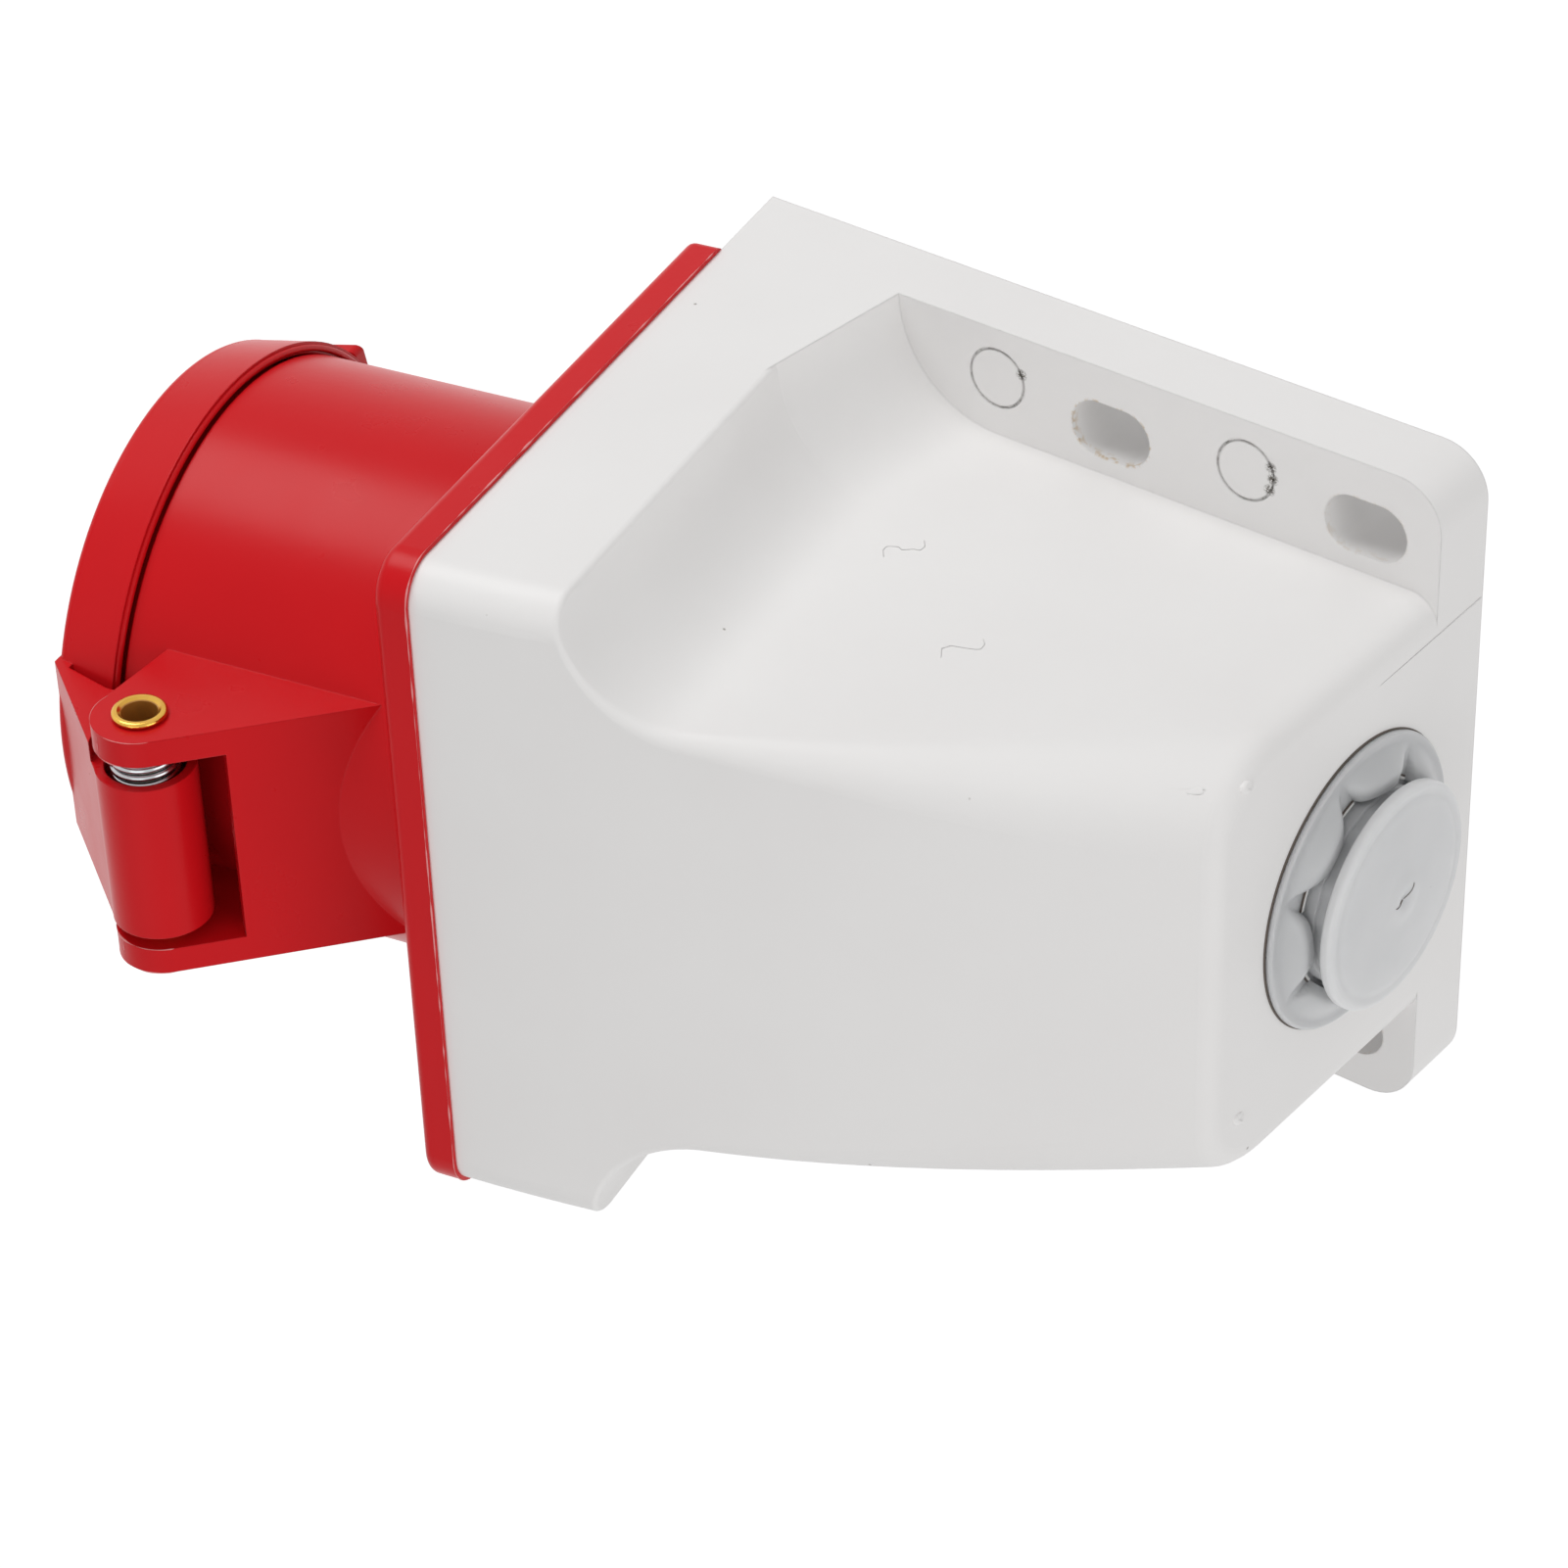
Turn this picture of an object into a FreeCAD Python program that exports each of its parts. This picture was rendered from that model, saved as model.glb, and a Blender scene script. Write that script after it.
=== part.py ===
import FreeCAD, Part
import math
import os
from FreeCAD import Vector

# Surface-mounted industrial inlet with a sprung, hinged lid.
# Frame: X across the wall, +Y into the wall, +Z up. The back of the housing lies on Y = 0 and
# the origin is the middle of the four fixing slots. Shapes are first drawn from the housing's
# lower back edge (Z = 0 there) and moved down by slot_centre_height when they are saved.
# The red flange is drawn in a tilted frame of its own: X across, S along the flange away from
# the wall, H out of the flange along the collar. flange_to_row turns it into place.

# Collar, in millimetres. Its radius drives the flange, the housing's width, the lid and the carrier.
collar_radius = 32.5
collar_wall = 3.6
collar_rim = 50.2
spigot_step = 1.8
spigot_length = 5.6
collar_offset = 2.45
key_width = 5.0
key_height = 2.3
key_below_rim = 12.2

# Flange and its fixings
flange_tilt = 12.2
flange_start = 13.2
flange_side_margin = 10.5
flange_end_margin = 5.25
flange_thickness = 4.2
flange_overhang = 0.5
flange_edge_round = 1.2
flange_wall_corner = 1.5
rim_width = 3.5
screw_inset_x = 7.5
screw_inset_s = 7.75
screw_radius = 2.0
screw_clearance = 0.2
screw_head_radius = 3.9
screw_head_height = 2.4
screw_length = 14.0
boss_radius = 4.6
band_below_block = 1.1
gasket_width = 1.4
gasket_depth = 1.0
seat_gap = 0.02

# Cross recess of every screw head, as shares of the head's radius, the shank's radius and the head's height
cross_arm_share = 0.62
cross_blade_share = 0.28
cross_floor_share = 0.45

# Housing
body_height = 99.0
front_radius = 221.0
wall = 3.0
front_corner_radius = 4.6
top_corner_radius = 6.0
chamber_foot_height = 24.0
chamber_gap = 1.9

# Scooped side recesses that bare the fixing strips
strip_depth = 9.5
strip_plate = 2.8
strip_rim = 2.5
band_height = 17.2
band_height_back = 26.7
band_fall = 0.089
edge_round_foot = 0.6
edge_round_top = 10.5
end_round = 3.5

# Fixing slots and knock-outs in the strips
slot_width = 7.0
slot_length = 10.6
slot_inset = 8.2
slot_below_top = 26.55
slot_pitch = 33.9
slot_wall = 2.4
knockout_radius = 3.85
knockout_inset = 6.45
knockout_below_slot = 15.75
knockout_groove = 0.3
knockout_groove_depth = 0.35

# Hinge ears on the collar and the web between them
hinge_reach = 8.6
hinge_drop = 18.0
ear_low = -15.3
ear_high = 16.7
ear_thickness = 3.3
ear_round = 5.6
ear_foot_h = 11.7
ear_crest_rise = 4.0
web_thickness = 2.8
web_short_of_hinge = 1.1

# Hollow rivet that is the hinge pin
rivet_radius = 2.5
rivet_wall = 0.4
rivet_roll = 0.7
rivet_rim_height = 0.8
running_clearance = 0.08

# Lid spring, a wound torsion spring
spring_wire = 0.9
spring_gap = 0.7
spring_turns = 7
body_gap = 0.3

# Lid
lid_seat_gap = 1.2
lid_plate = 2.2
lid_edge_round = 1.0
lid_edge_stand = 0.1
lid_skirt_depth = 8.3
lid_skirt_stand = 1.4
lid_skirt_wall = 1.5
lip_half_width = 20.0
lip_depth = 5.3
lip_stand = 2.2
lip_flare = 2.0
lip_curve = 66.0
lip_wall = 1.8
lip_corner = 0.9
tongue_half_width = 11.4
tongue_root = 6.0
tongue_edge = 1.4
tongue_gap = 0.9
tongue_front_angle = 36.9
tongue_back_angle = 205.8
barrel_wall = 1.1
barrel_start = -8.9
barrel_end = 11.7
barrel_relief = 0.4
spring_pocket_gap = 0.6
spring_pocket_depth = 5.5
seal_inner_overhang = 0.7
seal_outer_overhang = 0.2
seal_groove = 0.9
seal_gap = 0.3

# Contact carrier, terminal block, pins and their screws
carrier_gap = 0.5
carrier_front = 7.0
carrier_back = -8.5
carrier_edge = 1.0
lug_thickness = 2.5
lug_screw_reach = 5.9
lug_half_width = 4.5
lug_overlap = 8.4
lug_tail = 4.1
post_radius = 3.4
small_screw_radius = 1.2
small_screw_head = 2.7
small_screw_head_height = 1.8
small_screw_length = 9.0
block_inset = 2.4
block_plate = 3.0
tower_wall = 2.3
tower_length = 12.5
pin_inset = 10.6
pin_radius = 2.5
earth_pin_radius = 3.5
pin_below_rim = 7.7
earth_below_rim = 5.7
pin_nose_share = 0.6
shoulder_step = 0.9
pin_shoulder = 1.8
terminal_radius = 3.6
wire_bore = 2.1
wire_bore_depth = 11.0
terminal_screw_radius = 1.6
terminal_screw_head = 2.4
terminal_screw_back = 6.0
centre_screw_radius = 1.9
centre_screw_head = 3.5
centre_screw_head_height = 2.2
centre_screw_length = 10.0
pin_gap = 0.05

# Membrane grommet of the cable entry
entry_depth = 24.6
entry_radius = 14.4
grommet_base_lip = 3.2
grommet_base = 1.1
grommet_lobe_height = 2.3
grommet_lobe_inset = 1.2
grommet_lobe_radius = 2.6
grommet_lobe_sink = 0.5
grommet_lobe_round_share = 0.35
grommet_lobes = 12
grommet_neck_inset = 3.0
grommet_cap_inset = 0.9
grommet_cap_low = 4.3
grommet_cap_high = 5.7
grommet_cap_edge = 0.4
grommet_dome = 0.9
grommet_dome_share = 0.78
grommet_skin = 1.1
grommet_inner_lip = 1.8
grommet_inner_flange = 1.6
grommet_fit = 0.1

# What follows from them
tilt = math.radians(flange_tilt)
half_width = collar_radius + flange_side_margin - flange_overhang
flange_length = 2 * (collar_radius + flange_end_margin)
flange_end = flange_start + flange_length
flange_middle = (flange_start + flange_end) / 2
collar_centre = flange_middle - collar_offset
collar_bore = collar_radius - collar_wall
collar_spigot_radius = collar_radius - spigot_step
collar_step = collar_rim - spigot_length
key_top = collar_rim - key_below_rim
lid_face = collar_rim + lid_seat_gap + lid_plate
lid_inner_face = lid_face - lid_plate
lid_edge_h = lid_face - lid_edge_round
lid_edge_radius = collar_radius + lid_edge_stand
lid_skirt_rear = lid_face - lid_skirt_depth
lid_skirt_rear_radius = collar_radius + lid_skirt_stand
lip_rear = lid_face - lip_depth
lip_reach = lid_edge_radius + lip_stand
hinge_s = collar_radius + hinge_reach
hinge_h = lid_face - hinge_drop
hinge_far = collar_centre + hinge_s
ear_crest_h = hinge_h + ear_crest_rise
web_end_s = hinge_s - web_short_of_hinge
rivet_bore = rivet_radius - rivet_wall
rivet_rim_radius = rivet_radius + rivet_roll
spring_mean_radius = rivet_radius + spring_gap + spring_wire / 2
spring_pocket_radius = spring_mean_radius + spring_wire / 2 + spring_pocket_gap
barrel_radius = spring_pocket_radius + barrel_wall
seal_inner_radius = collar_bore - seal_inner_overhang
seal_outer_radius = collar_spigot_radius + seal_outer_overhang
carrier_radius = collar_bore - carrier_gap
lug_screw_span = carrier_radius + lug_screw_reach
lug_end = lug_screw_span + lug_tail
block_radius = carrier_radius - block_inset
block_back = carrier_back - block_plate
tower_radius = terminal_radius + tower_wall
tower_end = block_back - tower_length
pin_shoulder_radius = terminal_radius + shoulder_step
pin_circle = carrier_radius - pin_inset
pin_tip = collar_rim - pin_below_rim
earth_tip = collar_rim - earth_below_rim
boss_depth = band_below_block - block_back
core_half_width = pin_circle + tower_radius + chamber_gap
floor_x = core_half_width + wall
recess_radius = half_width - floor_x
slot_half_span = half_width - slot_inset
slot_centre_height = body_height - slot_below_top
knockout_half_span = half_width - knockout_inset
grommet_base_radius = entry_radius + grommet_base_lip
grommet_lobe_outer = grommet_base_radius - grommet_lobe_inset
grommet_neck_radius = entry_radius - grommet_neck_inset
grommet_cap_radius = entry_radius - grommet_cap_inset
grommet_inner_radius = entry_radius + grommet_inner_lip


def flange_point(s, h, x=0.0):
    """A point of the tilted flange frame, given in the row's axes."""
    depth = s * math.cos(tilt) + h * math.sin(tilt)
    return Vector(x, -depth, s * math.sin(tilt) - h * math.cos(tilt))


def flange_to_row(shape):
    """Turn a shape drawn in the flange frame into the row's axes."""
    placed = shape.copy()
    placed.rotate(Vector(0, 0, 0), Vector(1, 0, 0), 180 - flange_tilt)
    return placed


def save(name, shape):
    """Write one node, with the origin moved to the middle of the fixing slots."""
    out = shape.copy()
    out.translate(Vector(0, 0, -slot_centre_height))
    out.exportStep("parts/" + name + ".step")
    print(name, "solids", len(out.Solids), "valid", out.isValid(), "volume", round(out.Volume, 1))


def polygon_face(points):
    return Part.Face(Part.makePolygon(points + [points[0]]))


def rounded_rectangle(x0, x1, y0, y1, radii):
    """A face in the XY plane with one radius for each corner: x0y0, x1y0, x1y1, x0y1."""
    corners = [(x0, y0), (x1, y0), (x1, y1), (x0, y1)]
    starts = [(0, 1), (-1, 0), (0, -1), (1, 0)]
    ends = [(1, 0), (0, 1), (-1, 0), (0, -1)]
    bulge = 1 - math.sqrt(0.5)
    marks = []
    for (cx, cy), (sx, sy), (ex, ey), r in zip(corners, starts, ends, radii):
        a = Vector(cx + sx * r, cy + sy * r, 0)
        b = Vector(cx + ex * r, cy + ey * r, 0)
        m = Vector(cx + (sx + ex) * r * bulge, cy + (sy + ey) * r * bulge, 0)
        marks.append((a, m, b))
    edges = []
    for i, (a, m, b) in enumerate(marks):
        edges.append(Part.Arc(a, m, b).toShape())
        edges.append(Part.LineSegment(b, marks[(i + 1) % 4][0]).toShape())
    return Part.Face(Part.Wire(edges))


def revolve_profile(points):
    """Turn a closed outline of (radius, height) points about the Z axis."""
    face = polygon_face([Vector(r, 0, h) for r, h in points])
    return face.revolve(Vector(0, 0, 0), Vector(0, 0, 1), 360)


def cylinder(x, y, low, high, radius):
    return Part.makeCylinder(radius, high - low, Vector(x, y, low), Vector(0, 0, 1))


def box_between(low, high):
    size = high - low
    return Part.makeBox(size.x, size.y, size.z, low)


def side_profile(inset, start, low):
    """Outline of the housing seen from the side, inset by one wall and open at the flange."""
    centre = flange_point(flange_end - front_radius, 0)
    radius = front_radius - inset
    top = body_height - inset
    turn = math.asin((top - centre.z) / radius) - tilt

    def on_front(angle):
        along = radius * math.cos(angle)
        back = radius * math.sin(angle)
        return flange_point(flange_end - front_radius + along, -back)

    first = on_front(0)
    last = on_front(turn)
    edges = [Part.LineSegment(start, first).toShape()]
    edges.append(Part.Arc(first, on_front(turn / 2), last).toShape())
    corner = Vector(0, -inset, top)
    edges.append(Part.LineSegment(last, corner).toShape())
    path = [corner] + low + [start]
    for a, b in zip(path, path[1:]):
        edges.append(Part.LineSegment(a, b).toShape())
    return Part.Face(Part.Wire(edges))


def housing_block():
    """The plain wedge with its long front curve, before the recesses are scooped out."""
    body_width = 2 * half_width
    origin = Vector(0, 0, 0)
    centre = flange_point(flange_end - front_radius, 0)
    turn = math.asin((body_height - centre.z) / front_radius) - tilt

    def on_front(angle):
        along = front_radius * math.cos(angle)
        return flange_point(flange_end - front_radius + along, -front_radius * math.sin(angle))

    back_top = Vector(0, 0, body_height)
    edges = [
        Part.LineSegment(origin, on_front(0)).toShape(),
        Part.Arc(on_front(0), on_front(turn / 2), on_front(turn)).toShape(),
        Part.LineSegment(on_front(turn), back_top).toShape(),
        Part.LineSegment(back_top, origin).toShape(),
    ]
    face = Part.Face(Part.Wire(edges))
    face.translate(Vector(-half_width, 0, 0))
    block = face.extrude(Vector(body_width, 0, 0))
    front = [e for e in block.Edges if e.Curve.TypeId == "Part::GeomCircle"]
    block = block.makeFillet(front_corner_radius, front)
    r = top_corner_radius
    plan = rounded_rectangle(-half_width, half_width, -2 * r, body_height, [r / 2, r / 2, r, r])
    plan = plan.extrude(Vector(0, 0, flange_end))
    plan.rotate(Vector(0, 0, 0), Vector(1, 0, 0), 90)
    return block.common(plan)


def scoop_run(foot, slope):
    """One straight run of a recess: a flat wall with a quarter-round foot, drawn out from the wall."""
    outside = half_width + recess_radius
    top = foot + 2 * body_height
    bulge = recess_radius * (1 - math.sqrt(0.5))
    a = Vector(outside, 0, foot)
    b = Vector(floor_x + recess_radius, 0, foot)
    c = Vector(floor_x, 0, foot + recess_radius)
    d = Vector(floor_x, 0, top)
    e = Vector(outside, 0, top)
    edges = [
        Part.LineSegment(a, b).toShape(),
        Part.Arc(b, Vector(floor_x + bulge, 0, foot + bulge), c).toShape(),
        Part.LineSegment(c, d).toShape(),
        Part.LineSegment(d, e).toShape(),
        Part.LineSegment(e, a).toShape(),
    ]
    face = Part.Face(Part.Wire(edges))
    return face.extrude(Vector(0, -1, slope) * 2 * body_height)


def scoop_tool():
    """Cutter for one side recess: its foot leaves the strip nearly level, then follows the flange."""
    along_flange = scoop_run(band_height / math.cos(tilt), math.tan(tilt))
    from_strip = scoop_run(band_height_back, -band_fall)
    reach = 4 * body_height
    ahead = box_between(Vector(-reach, -reach, -reach), Vector(reach, -strip_depth, reach))
    return along_flange.common(from_strip).common(ahead)


def mirrored(shape):
    return shape.mirror(Vector(0, 0, 0), Vector(1, 0, 0))


def slot_tool(height, grow):
    """A round-ended cutter through the strip, long along Z, or the boss round it when it is grown."""
    radius = slot_width / 2 + grow
    reach = (slot_length - slot_width) / 2
    low = Vector(slot_half_span - radius, -strip_depth - 1, height - reach)
    high = Vector(slot_half_span + radius, 1, height + reach)
    tool = box_between(low, high)
    for end in (-reach, reach):
        base = Vector(slot_half_span, 1, height + end)
        tool = tool.fuse(Part.makeCylinder(radius, strip_depth + 2, base, Vector(0, -1, 0)))
    return tool


def knockout_ring(height):
    """The shallow circle that marks a knock-out in the strip."""
    base = Vector(knockout_half_span, -strip_depth + knockout_groove_depth, height)
    out = Vector(0, -1, 0)
    ring = Part.makeCylinder(knockout_radius, 2, base, out)
    inner = Part.makeCylinder(knockout_radius - knockout_groove, 2, base, out)
    return ring.cut(inner)


def slot_heights():
    return [slot_centre_height - slot_pitch / 2, slot_centre_height + slot_pitch / 2]


def strip_pocket():
    """The hollow behind a fixing strip, open to the wall, with a boss left round each slot."""
    low_z = (band_height + strip_depth * math.sin(tilt)) / math.cos(tilt)
    low = Vector(floor_x, -(strip_depth - strip_plate), low_z)
    high = Vector(half_width - strip_rim, 1, body_height - strip_rim)
    pocket = box_between(low, high)
    for height in slot_heights():
        pocket = pocket.cut(slot_tool(height, slot_wall))
    return pocket


def cavity():
    """The wiring chamber, drawn out through the flange opening, with four screw bosses left."""
    inner_start = flange_start + rim_width
    inner_end = flange_end - rim_width
    low = [Vector(0, -wall, chamber_foot_height)]
    low.append(flange_point(inner_start, -boss_depth))
    tower = side_profile(wall, flange_point(inner_start, 0), low)
    tower.translate(Vector(-core_half_width, 0, 0))
    chamber = tower.extrude(Vector(2 * core_half_width, 0, 0))
    side = half_width - rim_width
    band = rounded_rectangle(-side, side, inner_start, inner_end, [wall] * 4)
    band = band.extrude(Vector(0, 0, -boss_depth))
    for x, s in flange_screw_places():
        band = band.cut(cylinder(x, s, -boss_depth - 1, 1, boss_radius))
    return chamber.fuse(flange_to_row(band))


def flange_screw_places():
    places = []
    for x in (screw_inset_x - half_width, half_width - screw_inset_x):
        for s in (flange_start + screw_inset_s, flange_end - screw_inset_s):
            places.append((x, s))
    return places


def soften(shape):
    """Round the two long front edges of the narrow body, then the rim of its end face."""
    near = 0.05
    for side in (-1, 1):
        for edge in shape.Edges:
            box = edge.BoundBox
            upright = box.XLength < near and box.YLength > strip_depth
            at_front = box.ZMax > body_height - near and box.YMax < -2 * strip_depth
            if upright and at_front and abs(box.XMax - side * floor_x) < near:
                radii = (edge_round_foot, edge_round_top)
                if edge.Vertexes[0].Point.z > edge.Vertexes[-1].Point.z:
                    radii = (edge_round_top, edge_round_foot)
                shape = shape.makeFillet(radii[0], radii[1], [edge])
                break
    rim = []
    for edge in shape.Edges:
        box = edge.BoundBox
        level = box.ZMin > body_height - near and box.DiagonalLength > 1
        if level and abs(box.XMax) < floor_x + near and abs(box.XMin) < floor_x + near:
            if box.YMax < -strip_depth + near:
                rim.append(edge)
    return shape.makeFillet(end_round, rim)


def housing():
    plain = housing_block()
    scoop = scoop_tool()
    block = plain.cut(scoop).cut(mirrored(scoop))
    block = soften(block)
    block = block.cut(cavity())
    tools = [strip_pocket()]
    for height in slot_heights():
        tools.append(slot_tool(height, 0))
        tools.append(knockout_ring(height - knockout_below_slot))
    for tool in tools:
        block = block.cut(tool).cut(mirrored(tool))
    entry = Part.makeCylinder(entry_radius, 3 * wall, Vector(0, -entry_depth, body_height - 2 * wall))
    block = block.cut(entry)
    for x, s in flange_screw_places():
        hole = cylinder(x, s, flange_thickness - screw_length - 1, 1, screw_radius)
        block = block.cut(flange_to_row(hole))
    return block


def ear_outline():
    """Side view of an ear: sloping crest, round end about the hinge, straight foot to the collar."""
    root = collar_centre + collar_bore - 1
    centre = Vector(hinge_far, 0, hinge_h)
    foot = Vector(collar_centre + math.sqrt(collar_radius ** 2 - ear_low ** 2), 0, ear_foot_h)
    gap = centre - foot
    slope = math.atan2(gap.z, gap.x) - math.asin(ear_round / gap.Length)
    touch = centre + Vector(math.sin(slope), 0, -math.cos(slope)) * ear_round
    crest = Vector(foot.x, 0, ear_crest_h)
    back = centre - crest
    rise = math.atan2(back.z, back.x) + math.asin(ear_round / back.Length)
    top = centre + Vector(-math.sin(rise), 0, math.cos(rise)) * ear_round
    middle = (slope - math.pi / 2 + rise + math.pi / 2) / 2
    nose = centre + Vector(math.cos(middle), 0, math.sin(middle)) * ear_round
    low = Vector(root, 0, foot.z - (foot.x - root) * math.tan(slope))
    high = Vector(root, 0, crest.z - (crest.x - root) * math.tan(rise))
    return low, touch, nose, top, high, slope


def ear(start):
    def place(p):
        return Vector(start, p.x, p.z)

    low, touch, nose, top, high, slope = ear_outline()
    edges = [
        Part.LineSegment(place(low), place(touch)).toShape(),
        Part.Arc(place(touch), place(nose), place(top)).toShape(),
        Part.LineSegment(place(top), place(high)).toShape(),
        Part.LineSegment(place(high), place(low)).toShape(),
    ]
    return Part.Face(Part.Wire(edges)).extrude(Vector(ear_thickness, 0, 0))


def web():
    """The plate that joins the ears, flush with their outer edges and open towards the barrel."""
    low, touch, nose, top, high, slope = ear_outline()
    along = Vector(0, math.cos(slope), math.sin(slope))
    inward = Vector(0, -math.sin(slope), math.cos(slope))
    start = Vector(ear_low + ear_thickness, low.x, low.z)
    end = start + along * ((collar_centre + web_end_s - low.x) / math.cos(slope))
    points = [start, end, end + inward * web_thickness, start + inward * web_thickness]
    return polygon_face(points).extrude(Vector(ear_high - ear_low - 2 * ear_thickness, 0, 0))


def flange_collar():
    side = half_width + flange_overhang
    corner = front_corner_radius + flange_overhang
    small = flange_wall_corner
    plate = rounded_rectangle(
        -side, side, flange_start, flange_end + flange_overhang, [small, small, corner, corner])
    plate = plate.extrude(Vector(0, 0, flange_thickness))
    rims = [e for e in plate.Edges if e.BoundBox.ZMin > flange_thickness - seat_gap]
    plate = plate.makeFillet(flange_edge_round, rims)
    body = plate.fuse(cylinder(0, collar_centre, 0, collar_step, collar_radius))
    body = body.fuse(cylinder(0, collar_centre, 0, collar_rim, collar_spigot_radius))
    key_low = Vector(-key_width / 2, collar_centre - collar_radius - key_height, 1)
    key_high = Vector(key_width / 2, collar_centre - collar_bore - 1, key_top)
    body = body.fuse(box_between(key_low, key_high))
    for piece in (ear(ear_low), ear(ear_high - ear_thickness), web()):
        body = body.fuse(piece)
    post_low = carrier_back + lug_thickness
    for side in (-1, 1):
        body = body.fuse(cylinder(side * lug_screw_span, collar_centre, post_low, 1, post_radius))
    body = body.cut(cylinder(0, collar_centre, -1, collar_rim + 1, collar_bore))
    hinge_hole = Part.makeCylinder(
        rivet_radius + seat_gap, ear_high - ear_low + 2,
        Vector(ear_low - 1, hinge_far, hinge_h), Vector(1, 0, 0))
    body = body.cut(hinge_hole)
    for x, s in flange_screw_places():
        body = body.cut(cylinder(x, s, -1, flange_thickness + 1, screw_radius + screw_clearance))
        seat = flange_thickness - screw_head_height
        body = body.cut(cylinder(x, s, seat, flange_thickness + 1, screw_head_radius + screw_clearance))
    pilot = small_screw_radius + seat_gap
    pilot_top = carrier_back + small_screw_length + screw_clearance
    for side in (-1, 1):
        body = body.cut(cylinder(side * lug_screw_span, collar_centre, carrier_back, pilot_top, pilot))
    return body.cut(gasket_ring(seat_gap)).removeSplitter()


def gasket_ring(gap):
    """The sealing ring in the back of the flange, or its groove when a gap is given."""
    middle = half_width - rim_width / 2
    reach = gasket_width / 2 + gap
    s_low = flange_start + rim_width / 2
    s_high = flange_end - rim_width / 2
    corner = 2 * gasket_width
    outer = rounded_rectangle(
        -middle - reach, middle + reach, s_low - reach, s_high + reach, [corner + reach] * 4)
    inner = rounded_rectangle(
        -middle + reach, middle - reach, s_low + reach, s_high - reach, [corner - reach] * 4)
    ring = outer.cut(inner)
    return ring.extrude(Vector(0, 0, gasket_depth + gap))


def screw(x, y, seat, radius, head_radius, head_height, length, up):
    """A pan-head screw standing on a seat: up is +1 when the head looks along +Z."""
    low_head = cylinder(0, 0, 0, head_height, head_radius)
    tops = [e for e in low_head.Edges if e.BoundBox.ZMin > head_height - 0.01]
    low_head = low_head.makeFillet(head_height / 2, tops)
    shank = cylinder(0, 0, -length, 0, radius)
    tip = [e for e in shank.Edges if e.BoundBox.ZMax < -length + 0.01]
    shank = shank.makeChamfer(radius / 2, tip)
    body = low_head.fuse(shank)
    arm = head_radius * cross_arm_share
    blade = radius * cross_blade_share
    for along, across in ((arm, blade), (blade, arm)):
        low = Vector(-along, -across, head_height * cross_floor_share)
        high = Vector(along, across, head_height + 1)
        body = body.cut(box_between(low, high))
    if up < 0:
        body.rotate(Vector(0, 0, 0), Vector(1, 0, 0), 180)
    body.translate(Vector(x, y, seat))
    return body


def flange_screws():
    seat = flange_thickness - screw_head_height
    height = screw_head_height - screw_clearance
    shank = screw_radius - seat_gap
    length = screw_length - screw_head_height
    places = flange_screw_places()
    return [screw(x, s, seat, shank, screw_head_radius, height, length, 1) for x, s in places]


def pin_places():
    """Five contacts on one circle, the earth contact on the key's side."""
    places = []
    for i in range(5):
        angle = math.radians(-90 + 72 * i)
        x = pin_circle * math.cos(angle)
        s = collar_centre + pin_circle * math.sin(angle)
        places.append((x, s, angle))
    return places


def contact_carrier():
    disc = cylinder(0, collar_centre, carrier_back, carrier_front, carrier_radius)
    rims = [e for e in disc.Edges if e.BoundBox.ZMin > carrier_front - 0.01]
    disc = disc.makeChamfer(carrier_edge, rims)
    low = Vector(carrier_radius - lug_overlap, collar_centre - lug_half_width, carrier_back)
    high = Vector(lug_end, collar_centre + lug_half_width, carrier_back + lug_thickness)
    lug = box_between(low, high)
    lug = lug.cut(cylinder(
        lug_screw_span, collar_centre, carrier_back - 1, 0, small_screw_radius + screw_clearance))
    disc = disc.fuse(lug).fuse(mirrored(lug))
    for i, (x, s, angle) in enumerate(pin_places()):
        radius = earth_pin_radius if i == 0 else pin_radius
        disc = disc.cut(cylinder(x, s, carrier_back - 1, carrier_front + 1, radius + pin_gap))
    pilot_top = block_back + centre_screw_length + screw_clearance
    pilot = centre_screw_radius + seat_gap
    return disc.cut(cylinder(0, collar_centre, carrier_back - 1, pilot_top, pilot))


def terminal_block():
    block = cylinder(0, collar_centre, block_back, carrier_back, block_radius)
    for x, s, angle in pin_places():
        block = block.fuse(cylinder(x, s, tower_end, carrier_back, tower_radius))
    for x, s, angle in pin_places():
        block = block.cut(cylinder(x, s, tower_end - 1, carrier_back, terminal_radius + pin_gap))
        seat = carrier_back - pin_shoulder - pin_gap
        block = block.cut(cylinder(x, s, seat, carrier_back, pin_shoulder_radius + pin_gap))
        out = Vector(math.cos(angle), math.sin(angle), 0)
        base = Vector(x, s, tower_end + terminal_screw_back)
        block = block.cut(Part.makeCylinder(terminal_screw_head + pin_gap, tower_radius + 1, base, out))
    clear = centre_screw_radius + screw_clearance
    hole = cylinder(0, collar_centre, block_back - 1, carrier_back + 1, clear)
    return block.cut(hole).removeSplitter()


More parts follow.
